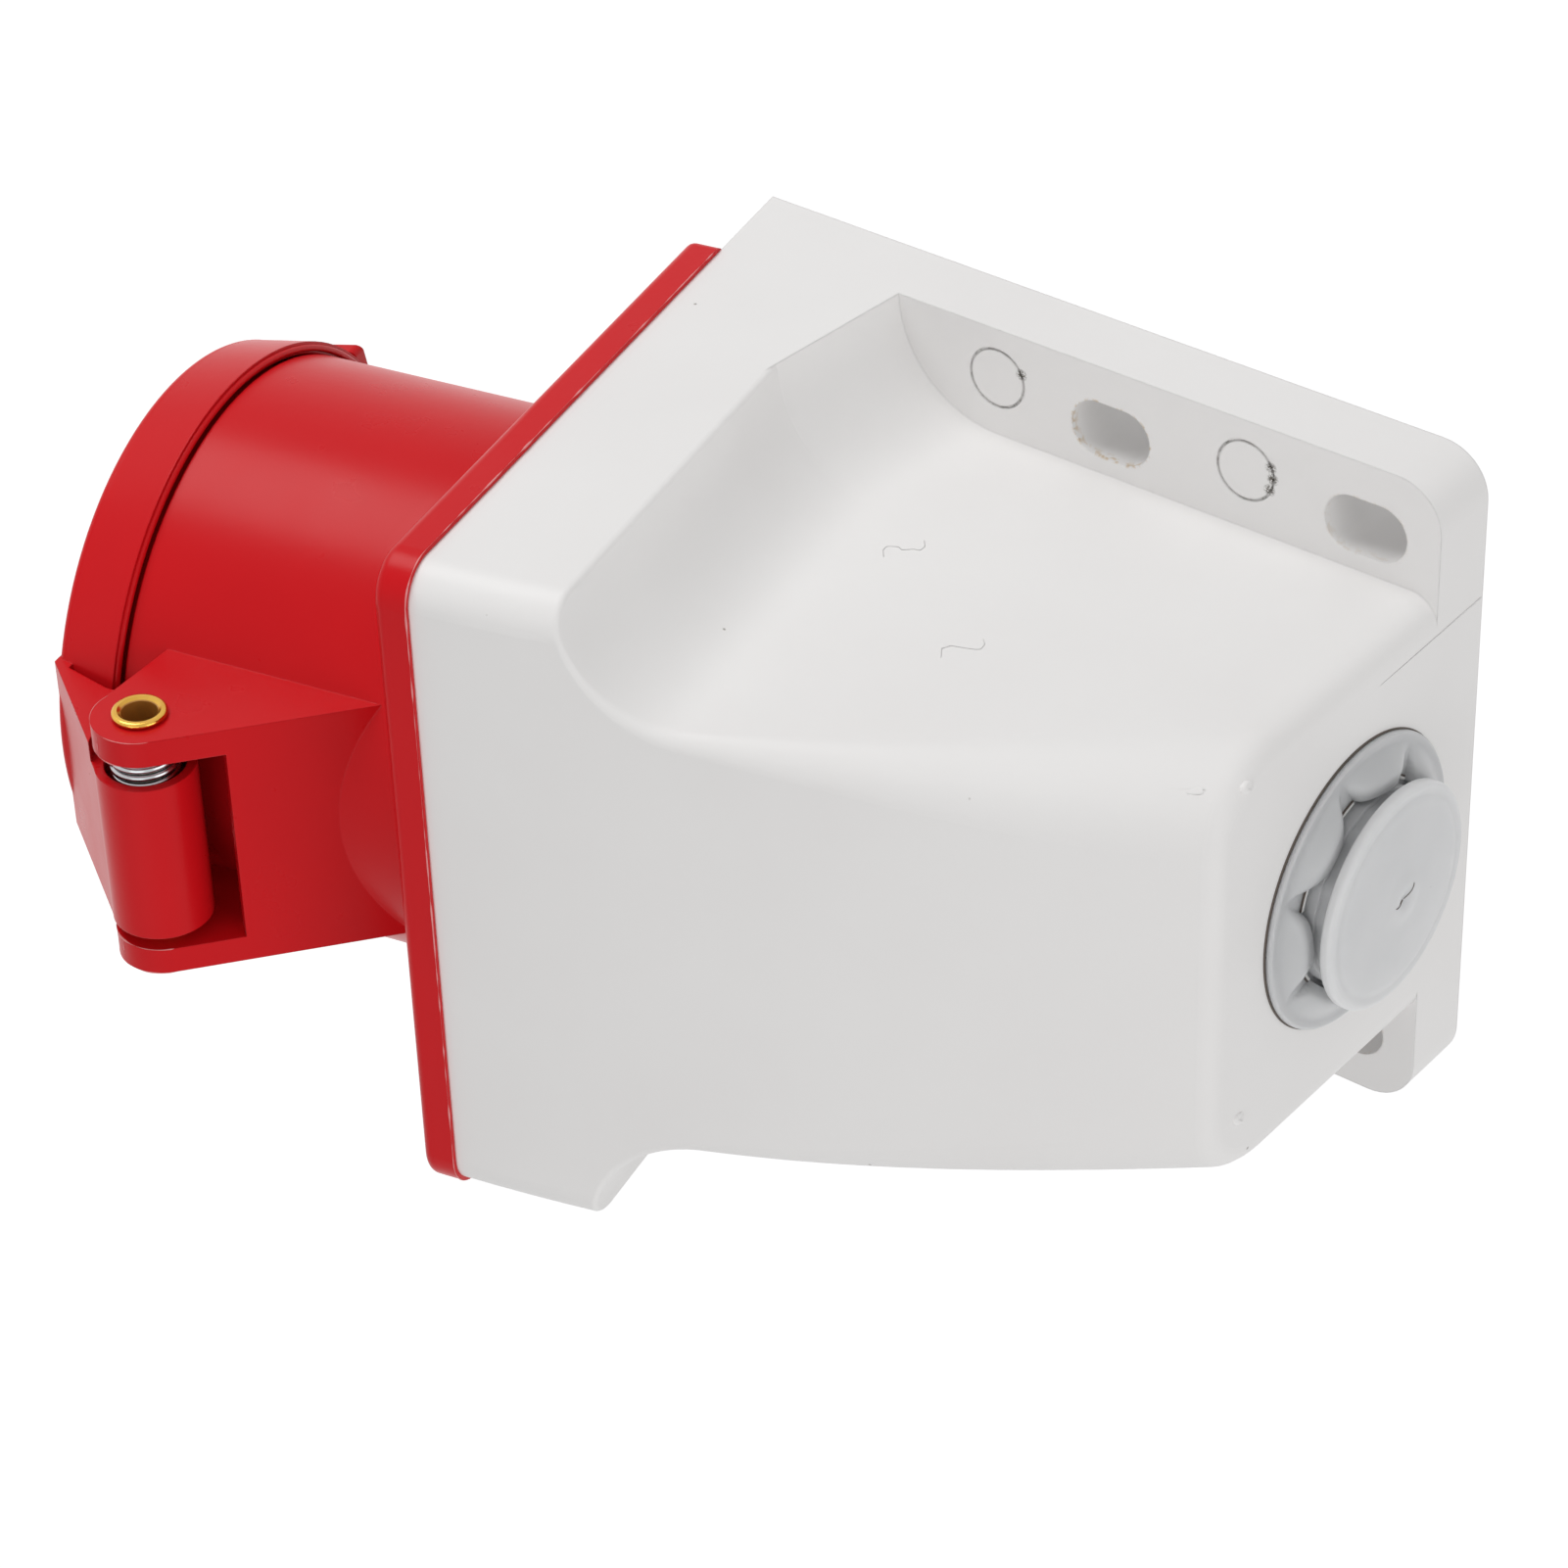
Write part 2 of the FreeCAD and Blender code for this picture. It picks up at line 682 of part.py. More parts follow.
def contact_pin(index):
    """A turned contact: rounded tip, shoulder and a drilled terminal at the back."""
    x, s, angle = pin_places()[index]
    radius = earth_pin_radius if index == 0 else pin_radius
    tip = earth_tip if index == 0 else pin_tip
    nose = radius * pin_nose_share
    shoulder_low = carrier_back - pin_shoulder
    outline = [
        Vector(0, 0, tower_end),
        Vector(terminal_radius, 0, tower_end), Vector(terminal_radius, 0, shoulder_low),
        Vector(pin_shoulder_radius, 0, shoulder_low), Vector(pin_shoulder_radius, 0, carrier_back),
        Vector(radius, 0, carrier_back), Vector(radius, 0, tip - nose),
    ]
    edges = [Part.LineSegment(a, b).toShape() for a, b in zip(outline, outline[1:])]
    turn = math.sqrt(0.5)
    middle = Vector(radius - nose + nose * turn, 0, tip - nose + nose * turn)
    edges.append(Part.Arc(outline[-1], middle, Vector(radius - nose, 0, tip)).toShape())
    edges.append(Part.LineSegment(Vector(radius - nose, 0, tip), Vector(0, 0, tip)).toShape())
    edges.append(Part.LineSegment(Vector(0, 0, tip), outline[0]).toShape())
    pin = Part.Face(Part.Wire(edges)).revolve(Vector(0, 0, 0), Vector(0, 0, 1), 360)
    pin = pin.cut(cylinder(0, 0, tower_end - 1, tower_end + wire_bore_depth, wire_bore))
    out = Vector(math.cos(angle), math.sin(angle), 0)
    base = Vector(0, 0, tower_end + terminal_screw_back)
    pin = pin.cut(Part.makeCylinder(terminal_screw_radius + seat_gap, terminal_radius + 1, base, out))
    pin.translate(Vector(x, s, 0))
    return pin


def terminal_screws():
    group = []
    seat = terminal_radius + pin_gap
    height = tower_radius - seat - pin_gap
    for x, s, angle in pin_places():
        one = screw(
            0, 0, seat, terminal_screw_radius, terminal_screw_head - pin_gap, height,
            seat - wire_bore / 2, 1)
        one.rotate(Vector(0, 0, 0), Vector(0, 1, 0), 90)
        one.rotate(Vector(0, 0, 0), Vector(0, 0, 1), math.degrees(angle))
        one.translate(Vector(x, s, tower_end + terminal_screw_back))
        group.append(one)
    return group


def carrier_screws():
    group = []
    for x in (-lug_screw_span, lug_screw_span):
        group.append(screw(
            x, collar_centre, carrier_back, small_screw_radius, small_screw_head,
            small_screw_head_height, small_screw_length, -1))
    return group


def centre_screw():
    return screw(0, collar_centre, block_back, centre_screw_radius, centre_screw_head,
                 centre_screw_head_height, centre_screw_length, -1)


def hinge_rivet():
    """A drawn brass tube with a rolled rim at each end, along X through both ears."""
    turn = rivet_rim_height / 2
    low = ear_low - seat_gap
    high = ear_high + seat_gap
    across = Vector(1, 0, 0)
    tube = Part.makeCylinder(rivet_radius, high - low, Vector(low, 0, 0), across)
    roll = rivet_rim_radius - turn
    for start in (low - rivet_rim_height, high):
        tube = tube.fuse(Part.makeTorus(roll, turn, Vector(start + turn, 0, 0), across))
        tube = tube.fuse(Part.makeCylinder(roll, rivet_rim_height, Vector(start, 0, 0), across))
    length = high - low + 4 * rivet_rim_height
    tube = tube.cut(Part.makeCylinder(rivet_bore, length, Vector(low - 2 * rivet_rim_height, 0, 0), across))
    for end, side in ((low - rivet_rim_height, -1), (high + rivet_rim_height, 1)):
        base = Vector(end - side * turn, 0, 0)
        tube = tube.cut(Part.makeCone(rivet_bore, rivet_bore + turn, turn, base, Vector(side, 0, 0)))
    tube.translate(Vector(0, hinge_far, hinge_h))
    return tube.removeSplitter()


def lid_cap():
    """The turned part of the lid: face, rounded edge and a skirt that opens slightly backwards."""
    edge = lid_edge_round
    turn = math.sqrt(0.5)
    outline = [
        Vector(0, 0, lid_inner_face), Vector(0, 0, lid_face), Vector(lid_edge_radius - edge, 0, lid_face)]
    rim = Vector(lid_edge_radius, 0, lid_edge_h)
    middle = Vector(lid_edge_radius - edge + edge * turn, 0, lid_edge_h + edge * turn)
    rear = Vector(lid_skirt_rear_radius, 0, lid_skirt_rear)
    rear_inner = Vector(lid_skirt_rear_radius - lid_skirt_wall, 0, lid_skirt_rear)
    face_inner = Vector(lid_edge_radius - edge, 0, lid_inner_face)
    edges = [Part.LineSegment(a, b).toShape() for a, b in zip(outline, outline[1:])]
    edges.append(Part.Arc(outline[-1], middle, rim).toShape())
    for a, b in ((rim, rear), (rear, rear_inner), (rear_inner, face_inner), (face_inner, outline[0])):
        edges.append(Part.LineSegment(a, b).toShape())
    return Part.Face(Part.Wire(edges)).revolve(Vector(0, 0, 0), Vector(0, 0, 1), 360)


def lid_lip():
    """The finger lip opposite the hinge: a gently curved plate that flares out of the lid's edge."""
    centre = Vector(0, lip_curve + lip_flare - lip_reach, lip_rear)
    height = lid_face - lip_rear
    outer = Part.makeCone(lip_curve + lip_flare, lip_curve, height, centre)
    inner = Part.makeCone(lip_curve + lip_flare - lip_wall, lip_curve - lip_wall, height, centre)
    front = inner.common(Part.makeBox(
        2 * lip_half_width, lip_reach, lid_plate, Vector(-lip_half_width, -lip_reach, lid_inner_face)))
    plate = outer.cut(inner).common(Part.makeBox(
        2 * lip_half_width, lip_reach, height, Vector(-lip_half_width, -lip_reach, lip_rear)))
    window = rounded_rectangle(
        -lip_half_width, lip_half_width, lip_rear, lid_face + height, [lip_corner] * 4)
    window = window.extrude(Vector(0, 0, lip_reach))
    window.rotate(Vector(0, 0, 0), Vector(1, 0, 0), 90)
    return plate.common(window).fuse(front)


def lid_tongue():
    """The arm from the lid's edge to the hinge barrel, with the barrel at its end."""
    front = math.radians(tongue_front_angle)
    back = math.radians(tongue_back_angle)
    root = lid_edge_radius - tongue_root
    inner = collar_radius + tongue_gap

    def on_barrel(angle):
        across = barrel_radius * math.cos(angle)
        return Vector(0, hinge_s + across, hinge_h + barrel_radius * math.sin(angle))

    points = [
        Vector(0, root, lid_face), Vector(0, lid_edge_radius - tongue_edge, lid_face),
        on_barrel(front), Vector(0, hinge_s, hinge_h), on_barrel(back),
        Vector(0, inner, hinge_h + tongue_gap), Vector(0, inner, lid_skirt_rear),
        Vector(0, lid_edge_radius - lid_edge_round, lid_inner_face), Vector(0, root, lid_inner_face),
    ]
    arm = polygon_face(points)
    arm.translate(Vector(-tongue_half_width, 0, 0))
    arm = arm.extrude(Vector(2 * tongue_half_width, 0, 0))
    barrel = Part.makeCylinder(
        barrel_radius, barrel_end - barrel_start, Vector(barrel_start, hinge_s, hinge_h), Vector(1, 0, 0))
    return arm, barrel


def lid():
    body = lid_cap().fuse(lid_lip())
    arm, barrel = lid_tongue()
    axis_x = Vector(1, 0, 0)
    clear = Part.makeCylinder(
        barrel_radius + barrel_relief, barrel_start + tongue_half_width + 1,
        Vector(-tongue_half_width - 1, hinge_s, hinge_h), axis_x)
    arm = arm.cut(clear)
    body = body.fuse(arm).fuse(barrel)
    bore = Part.makeCylinder(
        rivet_radius + running_clearance, ear_high - ear_low,
        Vector(ear_low, hinge_s, hinge_h), axis_x)
    pocket = Part.makeCylinder(
        spring_pocket_radius, spring_pocket_depth, Vector(barrel_start - 0.01, hinge_s, hinge_h), axis_x)
    body = body.cut(bore).cut(pocket)
    floor = lid_inner_face + seal_groove
    groove = revolve_profile([
        (seal_inner_radius, lid_inner_face - seat_gap), (seal_outer_radius, lid_inner_face - seat_gap),
        (seal_outer_radius, floor), (seal_inner_radius, floor)])
    body = body.cut(groove)
    body.translate(Vector(0, collar_centre, 0))
    return body.removeSplitter()


def lid_seal():
    top = lid_inner_face + seal_groove - seat_gap
    low = collar_rim + seal_gap
    ring = revolve_profile([
        (seal_inner_radius + seat_gap, low), (seal_outer_radius - seat_gap, low),
        (seal_outer_radius - seat_gap, top), (seal_inner_radius + seat_gap, top)])
    ring.translate(Vector(0, collar_centre, 0))
    return ring


def lid_spring():
    """A torsion spring wound round the rivet, one leg on the web and one in the barrel."""
    low = ear_low + ear_thickness + seat_gap
    high = barrel_start + spring_pocket_depth - body_gap
    rise = high - low - spring_wire
    helix = Part.makeHelix(rise / spring_turns, rise, spring_mean_radius)
    circle = Part.Circle(Vector(spring_mean_radius, 0, 0), Vector(0, 1, 0), spring_wire / 2)
    coil = Part.Wire(helix.Edges).makePipeShell([Part.Wire(circle.toShape())], True, True)
    reach = hinge_s - collar_radius - seat_gap
    leg = Part.makeCylinder(spring_wire / 2, reach, Vector(spring_mean_radius, 0, 0), Vector(0, -1, 0))
    spring = coil.fuse(leg)
    spring.rotate(Vector(0, 0, 0), Vector(0, 1, 0), 90)
    spring.translate(Vector(low + spring_wire / 2, hinge_far, hinge_h))
    return spring


def cable_grommet():
    """The soft entry seal: base ring with lobes, neck, domed cap and a flange inside the wall."""
    top = body_height
    low = top - wall - grommet_inner_flange
    neck = grommet_neck_radius
    cap = grommet_cap_radius
    edge = grommet_cap_edge
    cap_low = top + grommet_cap_low
    cap_high = top + grommet_cap_high
    base = top + grommet_base
    bore = neck - grommet_skin
    plug = entry_radius - grommet_fit
    outline = [
        (0, cap_high + grommet_dome), (cap / 2, cap_high + grommet_dome * grommet_dome_share),
        (cap - edge, cap_high), (cap, cap_high - edge), (cap, cap_low + edge), (cap - edge, cap_low),
        (neck, cap_low), (neck, base),
        (grommet_base_radius - edge, base), (grommet_base_radius, base - edge),
        (grommet_base_radius, top + seat_gap), (plug, top + seat_gap),
        (plug, top - wall - seat_gap), (grommet_inner_radius, top - wall - seat_gap),
        (grommet_inner_radius - edge, low), (bore, low),
        (bore, cap_high - grommet_skin), (0, cap_high - grommet_skin),
    ]
    body = revolve_profile(outline)
    centre = Vector(grommet_lobe_outer - grommet_lobe_radius, 0, base - grommet_lobe_sink)
    lobe = Part.makeCylinder(grommet_lobe_radius, grommet_lobe_height, centre)
    rims = [e for e in lobe.Edges if e.BoundBox.ZMin > base]
    lobe = lobe.makeFillet(grommet_lobe_height * grommet_lobe_round_share, rims)
    for i in range(grommet_lobes):
        one = lobe.copy()
        one.rotate(Vector(0, 0, 0), Vector(0, 0, 1), 360.0 * (i + 0.5) / grommet_lobes)
        body = body.fuse(one)
    body.translate(Vector(0, -entry_depth, 0))
    return body


os.makedirs("parts", exist_ok=True)
save("housing", housing())
save("cable_grommet", cable_grommet())
save("flange_collar", flange_to_row(flange_collar()))
save("flange_gasket", flange_to_row(gasket_ring(0)))
for number, shape in enumerate(flange_screws(), 1):
    save("flange_screw_" + str(number), flange_to_row(shape))
save("contact_carrier", flange_to_row(contact_carrier()))
save("terminal_block", flange_to_row(terminal_block()))
clamps = terminal_screws()
for number, label in enumerate(["earth", "neutral", "l3", "l2", "l1"]):
    save("pin_" + label, flange_to_row(contact_pin(number)))
    save("terminal_screw_" + label, flange_to_row(clamps[number]))
for number, shape in enumerate(carrier_screws(), 1):
    save("carrier_screw_" + str(number), flange_to_row(shape))
save("centre_screw", flange_to_row(centre_screw()))
save("hinge_rivet", flange_to_row(hinge_rivet()))
save("lid_spring", flange_to_row(lid_spring()))
save("lid", flange_to_row(lid()))
save("lid_seal", flange_to_row(lid_seal()))
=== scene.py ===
import bmesh
import bpy
import numpy as np
from mathutils import Matrix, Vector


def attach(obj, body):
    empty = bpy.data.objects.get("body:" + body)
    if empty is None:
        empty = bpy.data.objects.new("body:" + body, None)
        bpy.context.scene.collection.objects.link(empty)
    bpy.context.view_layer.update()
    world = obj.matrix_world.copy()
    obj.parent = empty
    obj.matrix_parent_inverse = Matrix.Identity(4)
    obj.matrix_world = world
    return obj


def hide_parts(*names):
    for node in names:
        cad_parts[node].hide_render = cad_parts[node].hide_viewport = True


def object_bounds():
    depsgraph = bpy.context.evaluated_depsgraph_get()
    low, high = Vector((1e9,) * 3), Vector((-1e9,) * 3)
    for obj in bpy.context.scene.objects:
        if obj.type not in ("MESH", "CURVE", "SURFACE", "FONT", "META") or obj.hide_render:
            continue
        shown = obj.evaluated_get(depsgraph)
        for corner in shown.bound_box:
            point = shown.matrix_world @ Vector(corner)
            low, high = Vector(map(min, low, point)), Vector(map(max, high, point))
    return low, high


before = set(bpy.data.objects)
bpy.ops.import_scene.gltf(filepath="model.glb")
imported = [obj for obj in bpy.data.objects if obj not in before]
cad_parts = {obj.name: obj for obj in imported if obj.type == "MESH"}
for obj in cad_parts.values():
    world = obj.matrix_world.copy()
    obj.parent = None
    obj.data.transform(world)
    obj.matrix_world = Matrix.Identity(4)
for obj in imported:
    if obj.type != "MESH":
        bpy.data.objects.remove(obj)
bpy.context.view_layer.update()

mm = 0.001

# Camera. It stands before the inlet, above it and to its left, rolled so that the wall side lies up
# to the right. Its place, turn and focal length come from the straight edges of the housing.
camera_right = (0.02967464, 0.61641188, 0.78686454)
camera_down = (0.81155918, -0.47441081, 0.34103677)
camera_forward = (0.58351616, 0.628467, -0.51433269)
camera_place = (-0.33963, -0.41291, 0.26394)
sensor_width = 36.0
focal_length = 117.71
camera_pose = np.eye(4)
camera_pose[:3, 0] = camera_right
camera_pose[:3, 1] = -np.array(camera_down)
camera_pose[:3, 2] = -np.array(camera_forward)
camera_pose[:3, 3] = camera_place
view = bpy.data.cameras.new("view")
view.sensor_width = sensor_width
view.lens = focal_length
camera = bpy.data.objects.new("view", view)
camera.matrix_world = Matrix(camera_pose.tolist())
bpy.context.scene.collection.objects.link(camera)
bpy.context.scene.camera = camera


# Housing: one hollow block of light grey-white polyamide, injection moulded, with a scooped recess
# on each side for the fixing strips. Its surface is satin, with a faint drift of tone, a few dark
# specks from the granulate, and workshop dirt rubbed into the knock-out circles.
housing_light = "#EEEDEC"
housing_shade = "#E8E6E5"
housing_speck = "#9A958F"


def linear(code):
    """An sRGB hex colour as linear light: a straight foot, then a shifted value to the power 2.4."""
    c = np.array([int(code[i:i + 2], 16) for i in (1, 3, 5)]) / 255
    c = np.where(c <= 0.04045, c / 12.92, ((c + 0.055) / 1.055) ** 2.4)
    return (*c.tolist(), 1.0)


def add_node(tree, kind, settings={}, links={}):
    """Add one node. A setting names a property, or else a socket; a link feeds a socket."""
    node = tree.nodes.new(kind)
    for key, value in settings.items():
        if isinstance(key, str) and hasattr(node, key):
            setattr(node, key, value)
        else:
            node.inputs[key].default_value = value
    for key, source in links.items():
        tree.links.new(source, node.inputs[key])
    return node


def moulded(name, light, shade, drift, speck, pitch, share, gloss, grain, depth, edge,
            ior=1.53, specular=0.28):
    """Moulded plastic: two tones that drift over some millimetres, specks in a share of the cells of
    a Voronoi pattern, uneven gloss, a fine grain in relief, and edges that the mould rounds."""
    material = bpy.data.materials.new(name)
    material.use_nodes = True
    tree = material.node_tree
    shader = tree.nodes["Principled BSDF"]
    shader.inputs["IOR"].default_value = ior
    shader.inputs["Specular IOR Level"].default_value = specular
    where = add_node(tree, "ShaderNodeTexCoord").outputs["Object"]
    slow = add_node(tree, "ShaderNodeTexNoise", {"Scale": 1 / drift, "Detail": 4.0},
                    {"Vector": where})
    tone = add_node(tree, "ShaderNodeMix",
                    {"data_type": "RGBA", 6: linear(light), 7: linear(shade)},
                    {0: slow.outputs[0]})
    cells = add_node(tree, "ShaderNodeTexVoronoi", {"Scale": 1 / pitch}, {"Vector": where})
    dot = add_node(tree, "ShaderNodeMapRange", {"From Min": 0.05, "From Max": 0.02},
                   {"Value": cells.outputs["Distance"]})
    pick = add_node(tree, "ShaderNodeMath", {"operation": "LESS_THAN", 1: share},
                    {0: cells.outputs["Color"]})
    spot = add_node(tree, "ShaderNodeMath", {"operation": "MULTIPLY"},
                    {0: dot.outputs[0], 1: pick.outputs[0]})
    paint = add_node(tree, "ShaderNodeMix", {"data_type": "RGBA", 7: linear(speck)},
                     {0: spot.outputs[0], 6: tone.outputs[2]})
    tree.links.new(paint.outputs[2], shader.inputs["Base Color"])
    patch = add_node(tree, "ShaderNodeTexNoise", {"Scale": 2.2 / drift, "Detail": 5.0},
                     {"Vector": where})
    rough = add_node(tree, "ShaderNodeMapRange", {"To Min": gloss - 0.05, "To Max": gloss + 0.05},
                     {"Value": patch.outputs[0]})
    tree.links.new(rough.outputs[0], shader.inputs["Roughness"])
    fine = add_node(tree, "ShaderNodeTexNoise", {"Scale": 1 / grain, "Detail": 2.0},
                    {"Vector": where})
    rounded = add_node(tree, "ShaderNodeBevel", {"samples": 6, "Radius": edge})
    relief = add_node(tree, "ShaderNodeBump", {"Strength": 1.0, "Distance": depth},
                      {"Height": fine.outputs[0], "Normal": rounded.outputs[0]})
    tree.links.new(relief.outputs[0], shader.inputs["Normal"])
    return material


def paintwork(material):
    """A material's node tree and shader, its Object coordinates, and the colour it shows so far."""
    tree = material.node_tree
    shader = tree.nodes["Principled BSDF"]
    where = add_node(tree, "ShaderNodeTexCoord").outputs["Object"]
    return tree, shader, where, shader.inputs["Base Color"].links[0].from_socket


def dress(material, *names):
    """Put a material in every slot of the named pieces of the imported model."""
    for name in names:
        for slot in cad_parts[name].material_slots:
            slot.material = material


white = moulded("moulded polyamide, grey-white", housing_light, housing_shade, drift=24 * mm,
                speck=housing_speck, pitch=5 * mm, share=0.16, gloss=0.44, grain=0.35 * mm,
                depth=0.006 * mm, edge=0.35 * mm)

# Dirt on the strips. Both are folded onto one by the distance from the middle plane, and each
# circle, blot and slot end is a distance on the strip's face. A coarse noise breaks up the rings
# and stains, and a fine one the blots. A fade is where a mark starts and where it is full.
grime_colour = "#77736C"
blot_colour = "#5E5850"
slot_stain_colour = "#C9B08C"
grime_grain = 0.8 * mm
crumb_grain = 0.22 * mm
strip_face = -9.6 * mm
strip_fade = (1.4 * mm, 0.3 * mm)
knockout_span = 36.05 * mm
knockout_radius = 3.7 * mm
ring_fade = (0.20 * mm, 0.05 * mm)
ring_strength = 0.8
blot_fade = (0.85 * mm, 0.35 * mm)
# The height of each knock-out circle and the blots at it, across and up from its middle, in mm.
knockouts = ((-32.7, ((1.6, 3.4),)), (1.2, ((1.5, 3.3), (0.1, 3.6), (-1.4, 3.2))))
slot_span = 34.3 * mm
slot_half_pitch = 16.95 * mm
slot_radius = 3.5 * mm
slot_half_run = 1.8 * mm
slot_stain_width = 0.35 * mm
slot_stains = ((-slot_half_pitch, 0.8), (slot_half_pitch, 0.25))

tree, shader, where, colour = paintwork(white)
axes = add_node(tree, "ShaderNodeSeparateXYZ", {}, {0: where})
side = add_node(tree, "ShaderNodeMath", {"operation": "ABSOLUTE"}, {0: axes.outputs[0]})
flat = add_node(tree, "ShaderNodeCombineXYZ", {}, {0: side.outputs[0], 2: axes.outputs[2]})
patches = add_node(tree, "ShaderNodeTexNoise", {"Scale": 1 / grime_grain, "Detail": 6.0},
                   {"Vector": where})
worn = add_node(tree, "ShaderNodeMapRange", {"From Min": 0.49, "From Max": 0.63},
                {"Value": patches.outputs[0]})
grit = add_node(tree, "ShaderNodeTexNoise", {"Scale": 1 / crumb_grain, "Detail": 3.0},
                {"Vector": where})
crumbs = add_node(tree, "ShaderNodeMapRange", {"From Min": 0.40, "From Max": 0.52},
                  {"Value": grit.outputs[0]})
before = add_node(tree, "ShaderNodeMath", {"operation": "SUBTRACT", 1: strip_face},
                  {0: axes.outputs[1]})
off_strip = add_node(tree, "ShaderNodeMath", {"operation": "ABSOLUTE"}, {0: before.outputs[0]})
on_strip = add_node(tree, "ShaderNodeMapRange",
                    {"From Min": strip_fade[0], "From Max": strip_fade[1]},
                    {"Value": off_strip.outputs[0]})


def stained(colour, mask, breaker, tint):
    """The colour with a tint laid over it where both masks hold, on the strip's face only."""
    broken = add_node(tree, "ShaderNodeMath", {"operation": "MULTIPLY"},
                      {0: mask.outputs[0], 1: breaker.outputs[0]})
    amount = add_node(tree, "ShaderNodeMath", {"operation": "MULTIPLY"},
                      {0: broken.outputs[0], 1: on_strip.outputs[0]})
    layer = add_node(tree, "ShaderNodeMix", {"data_type": "RGBA", 7: linear(tint)},
                     {0: amount.outputs[0], 6: colour})
    return layer.outputs[2]


for height, blots in knockouts:
    reach = add_node(tree, "ShaderNodeVectorMath",
                     {"operation": "DISTANCE", 1: (knockout_span, 0, height * mm)},
                     {0: flat.outputs[0]})
    off = add_node(tree, "ShaderNodeMath", {"operation": "SUBTRACT", 1: knockout_radius},
                   {0: reach.outputs["Value"]})
    away = add_node(tree, "ShaderNodeMath", {"operation": "ABSOLUTE"}, {0: off.outputs[0]})
    ring = add_node(tree, "ShaderNodeMapRange",
                    {"From Min": ring_fade[0], "From Max": ring_fade[1], "To Max": ring_strength},
                    {"Value": away.outputs[0]})
    colour = stained(colour, ring, worn, grime_colour)
    for beside, above in blots:
        middle = (knockout_span + beside * mm, 0, (height + above) * mm)
        spill = add_node(tree, "ShaderNodeVectorMath", {"operation": "DISTANCE", 1: middle},
                         {0: flat.outputs[0]})
        blot = add_node(tree, "ShaderNodeMapRange",
                        {"From Min": blot_fade[0], "From Max": blot_fade[1]},
                        {"Value": spill.outputs["Value"]})
        colour = stained(colour, blot, crumbs, blot_colour)
for height, strength in slot_stains:
    past = add_node(tree, "ShaderNodeMath", {"operation": "SUBTRACT", 1: height},
                    {0: axes.outputs[2]})
    run = add_node(tree, "ShaderNodeMath", {"operation": "ABSOLUTE"}, {0: past.outputs[0]})
    end = add_node(tree, "ShaderNodeMath", {"operation": "SUBTRACT", 1: slot_half_run},
                   {0: run.outputs[0]})
    end = add_node(tree, "ShaderNodeMath", {"operation": "MAXIMUM", 1: 0.0}, {0: end.outputs[0]})
    across = add_node(tree, "ShaderNodeMath", {"operation": "SUBTRACT", 1: slot_span},
                      {0: side.outputs[0]})
    corner = add_node(tree, "ShaderNodeCombineXYZ", {}, {0: across.outputs[0], 1: end.outputs[0]})
    reach = add_node(tree, "ShaderNodeVectorMath", {"operation": "LENGTH"},
                     {0: corner.outputs[0]})
    stain = add_node(tree, "ShaderNodeMapRange",
                     {"From Min": slot_radius + slot_stain_width, "From Max": slot_radius,
                      "To Max": strength},
                     {"Value": reach.outputs["Value"]})
    colour = stained(colour, stain, worn, slot_stain_colour)
tree.links.new(colour, shader.inputs["Base Color"])
dress(white, "housing")


# Marks of the mould on the housing: the thin parting ridge that crosses the end face, two nibs where
# ejector pins met the face, and two raised hair marks on the floor of the near recess. They are the
# same polyamide: the lines stand about a tenth of a millimetre proud, and the nibs half of one.
end_face = 26.55 * mm
recess_floor = -28.6 * mm
ridge_x = -24.1 * mm
ridge_skew = 0.4 * mm
ridge_start = 0.2 * mm
ridge_reach = 21.0 * mm
ridge_radius = 0.13 * mm
ridge_end_share = 0.25
hair_radius = 0.055 * mm
# Points of the two hair marks, out from the wall and up, in mm.
hair_marks = (
    ((37.7, -27.7), (36.5, -28.7), (35.7, -28.8), (35.0, -27.7), (35.3, -27.0), (34.4, -26.0),
     (34.2, -25.3), (33.3, -25.3), (32.2, -26.2)),
    ((49.8, -10.8), (48.3, -11.8), (47.3, -11.3), (47.0, -10.4), (46.7, -9.6), (46.4, -8.8),
     (46.0, -8.3), (45.0, -8.5), (44.2, -9.3)),
)
# Middle of each nib across and out from the wall, and how far the rounding drops there, in mm.
nib_places = ((-25.0, 46.3, 0.15), (19.5, 46.5, 0.0))
nib_radius = 0.75 * mm
nib_rise = 0.45 * mm
nib_root = 0.6 * mm
nib_stretch = 1.3
nib_slant = 0.35


def grid_faces(rows, cols, round_rows=False, round_cols=False):
    """Quads between neighbours of a grid; a round direction joins its last line to its first."""
    i = np.arange(rows if round_rows else rows - 1)[:, None]
    j = np.arange(cols if round_cols else cols - 1)[None, :]
    below, right = (i + 1) % rows, (j + 1) % cols
    corners = (i * cols + j, i * cols + right, below * cols + right, below * cols + j)
    return np.stack(np.broadcast_arrays(*corners), -1).reshape(-1, 4)


